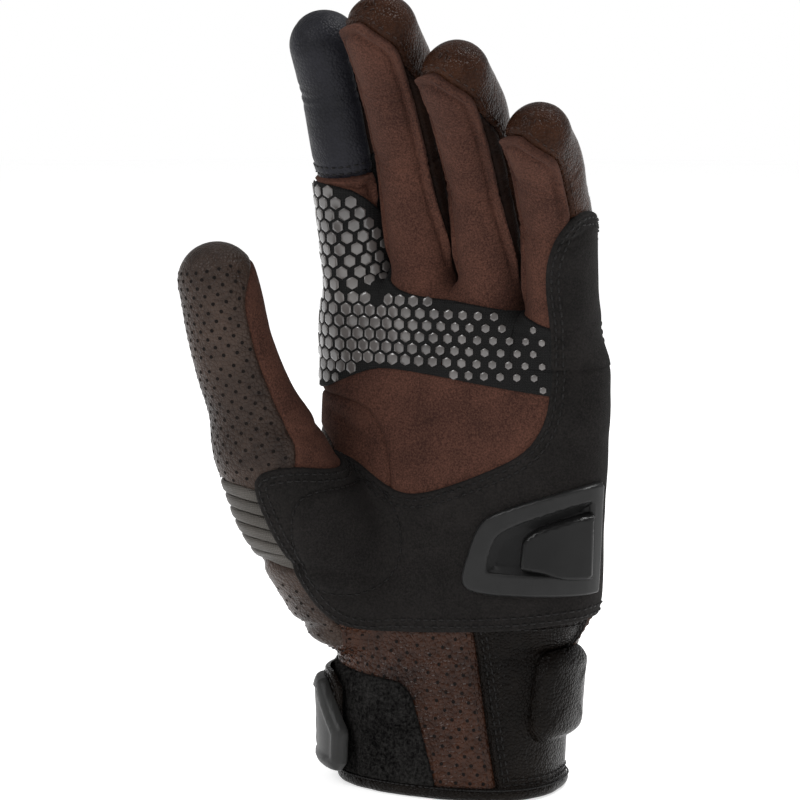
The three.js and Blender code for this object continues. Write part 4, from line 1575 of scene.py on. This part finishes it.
def make_finger(name):
    """One finger's panels and stitches. Gives back its parts and its ripple."""
    digit, fields = DIGITS[name], FingerFields(name)
    low = (BOXES[name][0], digit.chain[:, 1].min() - 15, FINGER_CUT - 8)
    high = (BOXES[name][1], 22, digit.chain[:, 2].max() + 14)
    S = surface_of(finger_body(name), low, high, CELL["finger"])
    ripple = finger_ripple(name)
    parts = finger_parts(name)
    is_index = name == "index"
    core = core_of(S, ripple, 1.0)
    for part in parts:
        emit(f"{part.name}_core", core, "lining", part)

    def welt(S):
        """The raised ridge round the pad. It fades out at the root and under patches."""
        s, _ = digit.coordinates(S.P)
        clear = step(-np.maximum(overlay_field(S.P), grip_field(S.P)), 0, 2)
        return (1.7 * bell(S.f, 1.6, 1.0) - 0.7 * bell(S.f, 3.5, 0.8)) * step(s, 4, 16) * clear

    def pieces(label, field, material, profile=flush(), extra=None, replaced=None, count=3):
        made = panel(S, field, profile, ripple, extra)
        for bone, part in list(zip(BONES, parts))[:count]:
            node = (f"{name}_{bone}_{replaced}",) if replaced else ()
            emit(f"{name}_{bone}_{label}", made, material, part, node)
        return made

    levels_only = flush(ridge=1e-6)  # no ridge of its own, but cut finely enough for the welt
    pieces("front", fields.front, "suede", levels_only, welt, "palm", 2 if is_index else 3)
    back = pieces("back", fields.back, "leather", replaced="back")
    black = []
    if is_index:
        black = make_touch(S, fields, ripple, parts)
        pieces("wedge", fields.wedge, "wedge")
        pieces("strip", fields.upper_strip, "fourchette")
    else:
        pieces("strip", fields.strip, "fourchette")
    if name == "little":
        black = make_little_overlay(S, ripple, parts)
    grip = panel(S, grip_field, RAISED_GRIP, ripple)
    emit(f"{name}_grip", grip, "grip_base", parts[0], ("grip_patch_index",) if is_index else ())
    if is_index:
        emit("index_grip_upper", grip, "grip_base", parts[1])
    for part in parts:
        emit_stitches(f"{part.name}_seam", [seam(back, 2.0, 1.7, 0.22)], "thread_brown", part)
        emit_stitches(f"{part.name}_stitching", black, "thread_black", part)
    return parts, ripple


# ------------------------------------------------------------------ grip hexagons


def grip_lattice(pitch=4.4):
    """Hexagon middles as [x, y, z] near the palm, further apart towards the little finger."""
    line = column_point(147.0, np.linspace(182, 350, 400))
    along = path_lengths(line)
    rows = []
    for row in range(19):
        z = 129.5 + row * pitch * 0.866
        places = np.arange(0.5 * pitch * (row % 2), along[-1], pitch)
        places += 0.0024 * np.maximum(places - 26, 0) ** 2
        places = places[places < along[-1]]
        x, y = (np.interp(places, along, line[:, i]) for i in (0, 1))
        rows.append(np.stack([x, y, np.full(len(x), z)], 1))
    return np.concatenate(rows)


def strip_lattice(pitch=4.4, first=-0.8, rows=10):
    """Hexagon middles up the front of the index finger."""
    digit = DIGITS["index"]
    turn = pitch / FINGER_RADIUS
    points = []
    for row in range(rows):
        centre, e = digit.at(first + row * pitch * 0.866)
        n, side = around(e, digit.across)
        for i in range(-7, 8):
            a = turn * (i + 0.5 * (row % 2))
            points.append(centre + (side * math.sin(a) + n * math.cos(a)) * FINGER_RADIUS)
    return np.array(points)


def hexagons(P, surface, ripple):
    """Silicone hexagons on the grip patch, and the points they stand on."""
    start = P
    P = settle(surface, P, 8)
    N = outward(surface, P)
    inside = np.minimum(grip_field(P), 6)
    drift = np.abs(P - start)
    facing = np.where(P[:, 0] > -22, -0.45, 0.35)
    # kept where the patch has room, the point settled close by and the glove faces the palm side
    fits = (inside > 1.1) & (drift[:, 2] < 1.5) & (drift[:, 0] < 2.5) & (N[:, 1] < facing)
    fits &= (N[:, 2] < 0.3) | (P[:, 0] < -22)
    P, N, inside = P[fits], N[fits], inside[fits]
    alone = spaced(P, 2.9)
    P, N, inside = P[alone], N[alone], inside[alone]
    gaps = np.linalg.norm(P[:, None] - P[None], axis=2) + 9 * np.eye(len(P))
    size = np.interp(P[:, 0], [-45, -12, 12, 40], [2.2, 2.05, 1.6, 1.15])
    size = np.minimum(size, np.minimum(inside + 0.3, gaps.min(1) * 0.5))
    shape = ring_shape([(1.0, -0.1), (1.0, 0.16), (0.92, 0.3), (0.6, 0.36)], 6)
    scale = np.stack([size, size, np.ones(len(P))], 1)
    up = np.tile([0.0, 0.0, 1.0], (len(P), 1))
    lift = P + N * (1.1 + ripple(P))[:, None]
    tilt = N + 0.12 * np.stack([value_noise(P * 7, 5, 61 + axis) for axis in range(3)], 1)
    return copies(*shape, lift, up, unit_rows(tilt), scale), P


def make_hexagons(fingers):
    """The hexagons on the hand and, above FINGER_CUT, on each finger's two lower parts."""
    lattice = grip_lattice()
    low = lattice[lattice[:, 2] <= FINGER_CUT]
    bits, _ = hexagons(low, hand_body, hand_ripple)
    emit_bits("grip_hexagons", *bits, "grip", HAND)
    for name, (parts, ripple) in fingers.items():
        low_x, high_x = SLABS[name]
        mine = (lattice[:, 2] > FINGER_CUT) & (lattice[:, 0] > low_x) & (lattice[:, 0] < high_x)
        own = lattice[mine]
        if name == "index":
            own = np.concatenate([own[own[:, 2] < 161], strip_lattice()])
        bits, P = hexagons(own, finger_body(name), ripple)
        for part in parts[:2]:
            emit_bits(f"{part.name}_hexagons", *kept_bits(bits, P, part.region), "grip", part)


# ------------------------------------------------------------------ slider, guard and cuff


def dished(high, dip, width):
    """A profile that sinks by dip over the width from its edge."""

    def profile(f):
        return high - dip * step(f, 0, width)

    profile.levels = (1.0, 2.0, 4.0)
    return profile


def make_slider(S):
    """The palm slider: its frame, its recess and the puck."""
    outline, window = polygon(SLIDER_OUTLINE, 3, 0.2), polygon(SLIDER_WINDOW, 3, 0.2)
    puck = polygon(PUCK_OUTLINE, 2, 0.14)
    opening = both(window, in_front_of(-5))
    frame_field = both(outline, in_front_of(-1.5), lambda P: 1.6 - opening(P))
    made = panel(S, frame_field, raised(0.8, 3.2, 1.1), lambda P: 0.4 * hand_ripple(P))
    emit("slider_frame", made, "shell", RIGID_HAND, ("slider_frame",))
    floor_field = both(window, in_front_of(-4))
    made = panel(S, floor_field, dished(2.9, 1.4, 4.0), hand_ripple)
    emit("slider_recess", made, "recess", RIGID_HAND, ("slider_base",))
    puck_field = both(puck, in_front_of(-6))
    made = panel(S, puck_field, raised(1.4, 5.2, 1.5), lambda P: 0.3 * hand_ripple(P))
    emit("slider_puck", made, "puck", RIGID_HAND, ("slider_puck",))


def make_guard(S):
    """The hard guard over the knuckles."""
    outline = polygon(GUARD_OUTLINE, 3)

    def crest(S):
        x = S.P[:, 0]
        ridges = sum(bell(x, centre, 3.0) for centre in (-20.5, 3.5, 26.5))
        return -1.3 * ridges * step(S.f, 1.5, 5) + 0.8 * bell(S.f, 3.2, 1.0)

    made = panel(S, both(outline, behind_seam), raised(-0.2, 3.9, 3.0), hand_ripple, crest)
    emit("knuckle_guard", made, "shell", RIGID_HAND, ("knuckle_guard", "guard_pad"))


def rounded_box(angle, z, half_width, half_height, radius):
    """A rounded rectangle on the cuff, in millimetres."""

    def field(P):
        u = ((column_angle(P) - angle + 180) % 360 - 180) * DEGREE
        qx = np.abs(u) - half_width + radius
        qz = np.abs(P[:, 2] - z) - half_height + radius
        outside = np.hypot(np.maximum(qx, 0), np.maximum(qz, 0))
        return radius - outside - np.minimum(np.maximum(qx, qz), 0)

    return field


def cuff_polygon(points, rounds=2):
    """An outline of [angle, height] points on the cuff."""
    base = polygon([(angle * DEGREE, z) for angle, z in points], rounds, 0.1)

    def field(P):
        Q = P.copy()
        Q[:, 0] = column_angle(P) * DEGREE
        return base(Q)

    return field


def fuzz(S, count, length=0.8):
    """Fine hooks of pile standing on a surface."""
    a, b, c = (S.V[S.T[:, i]] for i in range(3))
    area = np.linalg.norm(np.cross(b - a, c - a), axis=1)
    pick = rng.choice(len(S.T), count, p=area / area.sum())
    u, v = rng.random(count), rng.random(count)
    u, v = np.where(u + v > 1, 1 - u, u), np.where(u + v > 1, 1 - v, v)
    P = a[pick] + u[:, None] * (b[pick] - a[pick]) + v[:, None] * (c[pick] - a[pick])
    N = S.L[S.T[pick, 0]] + 0.6 * rng.standard_normal((count, 3))
    N /= np.linalg.norm(N, axis=1)[:, None]
    points = [(0.09, 0, -0.1), (-0.05, 0.08, -0.1), (-0.05, -0.08, -0.1), (0.1, 0, 1)]
    faces = [(0, 1, 3), (1, 2, 3), (2, 0, 3)]
    scale = np.stack([np.ones(count), np.ones(count), length * rng.uniform(0.5, 1, count)], 1)
    return copies(points, faces, P, rng.standard_normal((count, 3)), N, scale)


def sweep_ring(heights, offsets, steps):
    """A closed ring round the cuff with the given closed profile."""
    angles = np.linspace(0, 360, steps, endpoint=False)
    V = np.concatenate([column_point(z, angles, o) for z, o in zip(heights, offsets)])
    return V, np.array(ring_faces(len(heights) + 1, steps)) % len(V)


def calm(P):
    """The slight unevenness of the strap's leather."""
    return 0.15 * value_noise(P, 12, 5)


def make_wrist_pad(low):
    """The soft padded block on the cuff's little-finger side."""

    def puffed(S):
        crown = 1.5 * (1 - (1 - np.minimum(S.f / 15, 1)) ** 2)
        return 0.25 * value_noise(S.P, 9, 31) + crown

    pad = panel(low, rounded_box(353, 33.5, 15.0, 15.0, 7), raised(-0.2, 4.2, 4.6), None, puffed)
    pad = emit("wrist_pad", closed(pad, -0.3), "black_leather", HAND, ("wrist_pad",))


def make_loop_patch(low):
    """The loop half of the hook-and-loop closure, with its pile."""
    outline = [(-70, 42), (-27, 38.2), (-8, 36.8), (-3.8, 33), (1.1, 19.5), (6.5, 2), (-70, 2)]
    field = both(polygon(outline, 1, 0.12), sector(170, 285), above(4.2))
    loop = panel(low, field, raised(-0.1, 1.1, 0.5), lambda P: 0.1 * value_noise(P, 1.6, 8))
    emit("loop_patch", loop, "pile", CUFF, ("loop_patch",))
    emit_bits("loop_patch_hooks", *fuzz(loop, 9000), "pile", CUFF)


def make_strap(low):
    """The sewn anchor, the band, the hook patch under its end and the rubber tab."""
    outline = [(68, 8), (68, 38), (99.4, 38), (99.4, 8)]
    anchor = panel(low, cuff_polygon(outline, 1), raised(-0.2, 1.7, 0.8), calm)
    emit("strap_anchor", anchor, "black_leather", CUFF, ("strap_anchor",))
    outline = [(100, 9), (100, 37), (215, 37), (226, 32), (226, 14), (215, 9)]
    band = panel(low, cuff_polygon(outline), raised(3.6, 4.6, 0.7), calm)
    emit("strap_band", closed(band, 2.9), "black_leather", STRAP, ("strap_band",))
    outline = [(186, 12), (186, 34), (222, 34), (222, 12)]
    hook = panel(low, cuff_polygon(outline, 1), raised(2.0, 2.1, 0.5))
    emit("strap_hook", closed(hook, 1.55), "pile", STRAP, ("strap_hook",))

    def tab_face(S):
        return 0.5 * bell(S.f, 3.3, 0.9) - 0.45 * step(S.f, 3.6, 4.6)

    thumb_end = [(190, 6), (186, 14), (186, 28), (190, 34.5)]
    palm_end = [(213, 34), (225, 27), (236, 19), (235, 8.5), (229, 5)]
    tab = panel(low, cuff_polygon(thumb_end + palm_end, 1), raised(5.2, 8.2, 2.2), None, tab_face)
    emit("strap_tab", closed(tab, 4.75), "rubber", STRAP, ("strap_tab",))
    emit_stitches("anchor_stitching", [seam(anchor, 2.0, 1.8, 0.26)], "thread_black", CUFF)
    emit_stitches("strap_stitching", [seam(band, 2.0, 1.8, 0.26)], "thread_black", STRAP)


def make_binding(steps=220, stitch_height=4.05, stitch_offset=1.05, stitch_turn=2.1851503759398496):
    """The bound rim at the cuff's mouth, with its stitches."""
    turn = np.linspace(0, math.tau, 14, endpoint=False)
    heights = 2.5 + 2.45 * np.sin(turn)
    offsets = -1.5 + 2.9 * np.sign(np.cos(turn)) * np.abs(np.cos(turn)) ** 0.8
    V, T = sweep_ring(heights, offsets, steps)
    outer = V[:steps]
    if (vertex_normals(V, T)[:steps] * (outer - outer.mean(0))).sum() < 0:
        T = T[:, ::-1]
    N = vertex_normals(V, T)
    V = V + N * (0.12 * value_noise(V, 7, 41) + 0.07 * value_noise(V, 3, 42))[:, None]
    emit_bits("cuff_binding", V, T, "black_leather", CUFF, ("cuff_binding",))

    def at(angles, offset=stitch_offset):
        return column_point(stitch_height, angles, offset)

    angles = np.arange(0, 360, stitch_turn)
    C = at(angles)
    up = unit_rows(C - at(angles, -4))
    rows = np.concatenate([C, up, C, up, np.zeros((len(C), 1)), at(angles + 1) - at(angles - 1)], 1)
    emit_bits("binding_stitching", *stitches(rows, 1.8, 0.26), "thread_black", CUFF)


def make_lining(S):
    """The cuff's inside, which shows at its mouth."""
    inner = Surface(S.D.copy(), S.T[(S.P[:, 2] < 120)[S.T].all(1)][:, ::-1]).compact()
    inner.D[:, 6:9] = inner.P - inner.N * (4.2 + 0.15 * value_noise(inner.P, 5, 51))[:, None]
    inner.D[:, 9:12] = -inner.N
    emit("inner_lining", inner, "lining", HAND, ("cuff_lining",))


def make_cuff_holes():
    """Perforations on the cuff's front, below the stretch insert and on the back's centre."""
    points = []
    for row, z in enumerate(np.arange(6, 75, 2.9)):
        angles = np.arange(160, 312, 7.4) + 3.7 * (row % 2)
        points.append(column_point(z, angles, 16 * float(step(z, 44, 60))))
    P = settle(hand_body, np.concatenate(points), 10)
    side = both(outer_edge, before_seam, under_ribs, above(HEM))
    shown = (np.maximum(cuff_front_field(P), side(P)) > 1.6) & (overlay_field(P) < -1.2)
    heights = enumerate(np.arange(56, 118, 2.8))
    grid = [(x + 2.2 * (row % 2), 16, z) for row, z in heights for x in np.arange(-26, 32, 4.4)]
    Q = settle(hand_body, np.array(grid, float), 8)
    emit_holes(np.concatenate([P[shown], Q[back_centre_field(Q) > 5.2]]), [HAND])


make_camera()
make_lights()
make_sky()
make_floor()
hand = make_hand()
fingers = {name: make_finger(name) for name in FINGERS}
make_hexagons(fingers)
make_slider(hand)
make_guard(hand)
near_cuff = Surface(hand.D.copy(), hand.T[(hand.P[:, 2] < 52)[hand.T].all(1)]).compact()
make_wrist_pad(near_cuff)
make_loop_patch(near_cuff)
make_strap(near_cuff)
make_binding()
make_cuff_holes()
make_lining(hand)
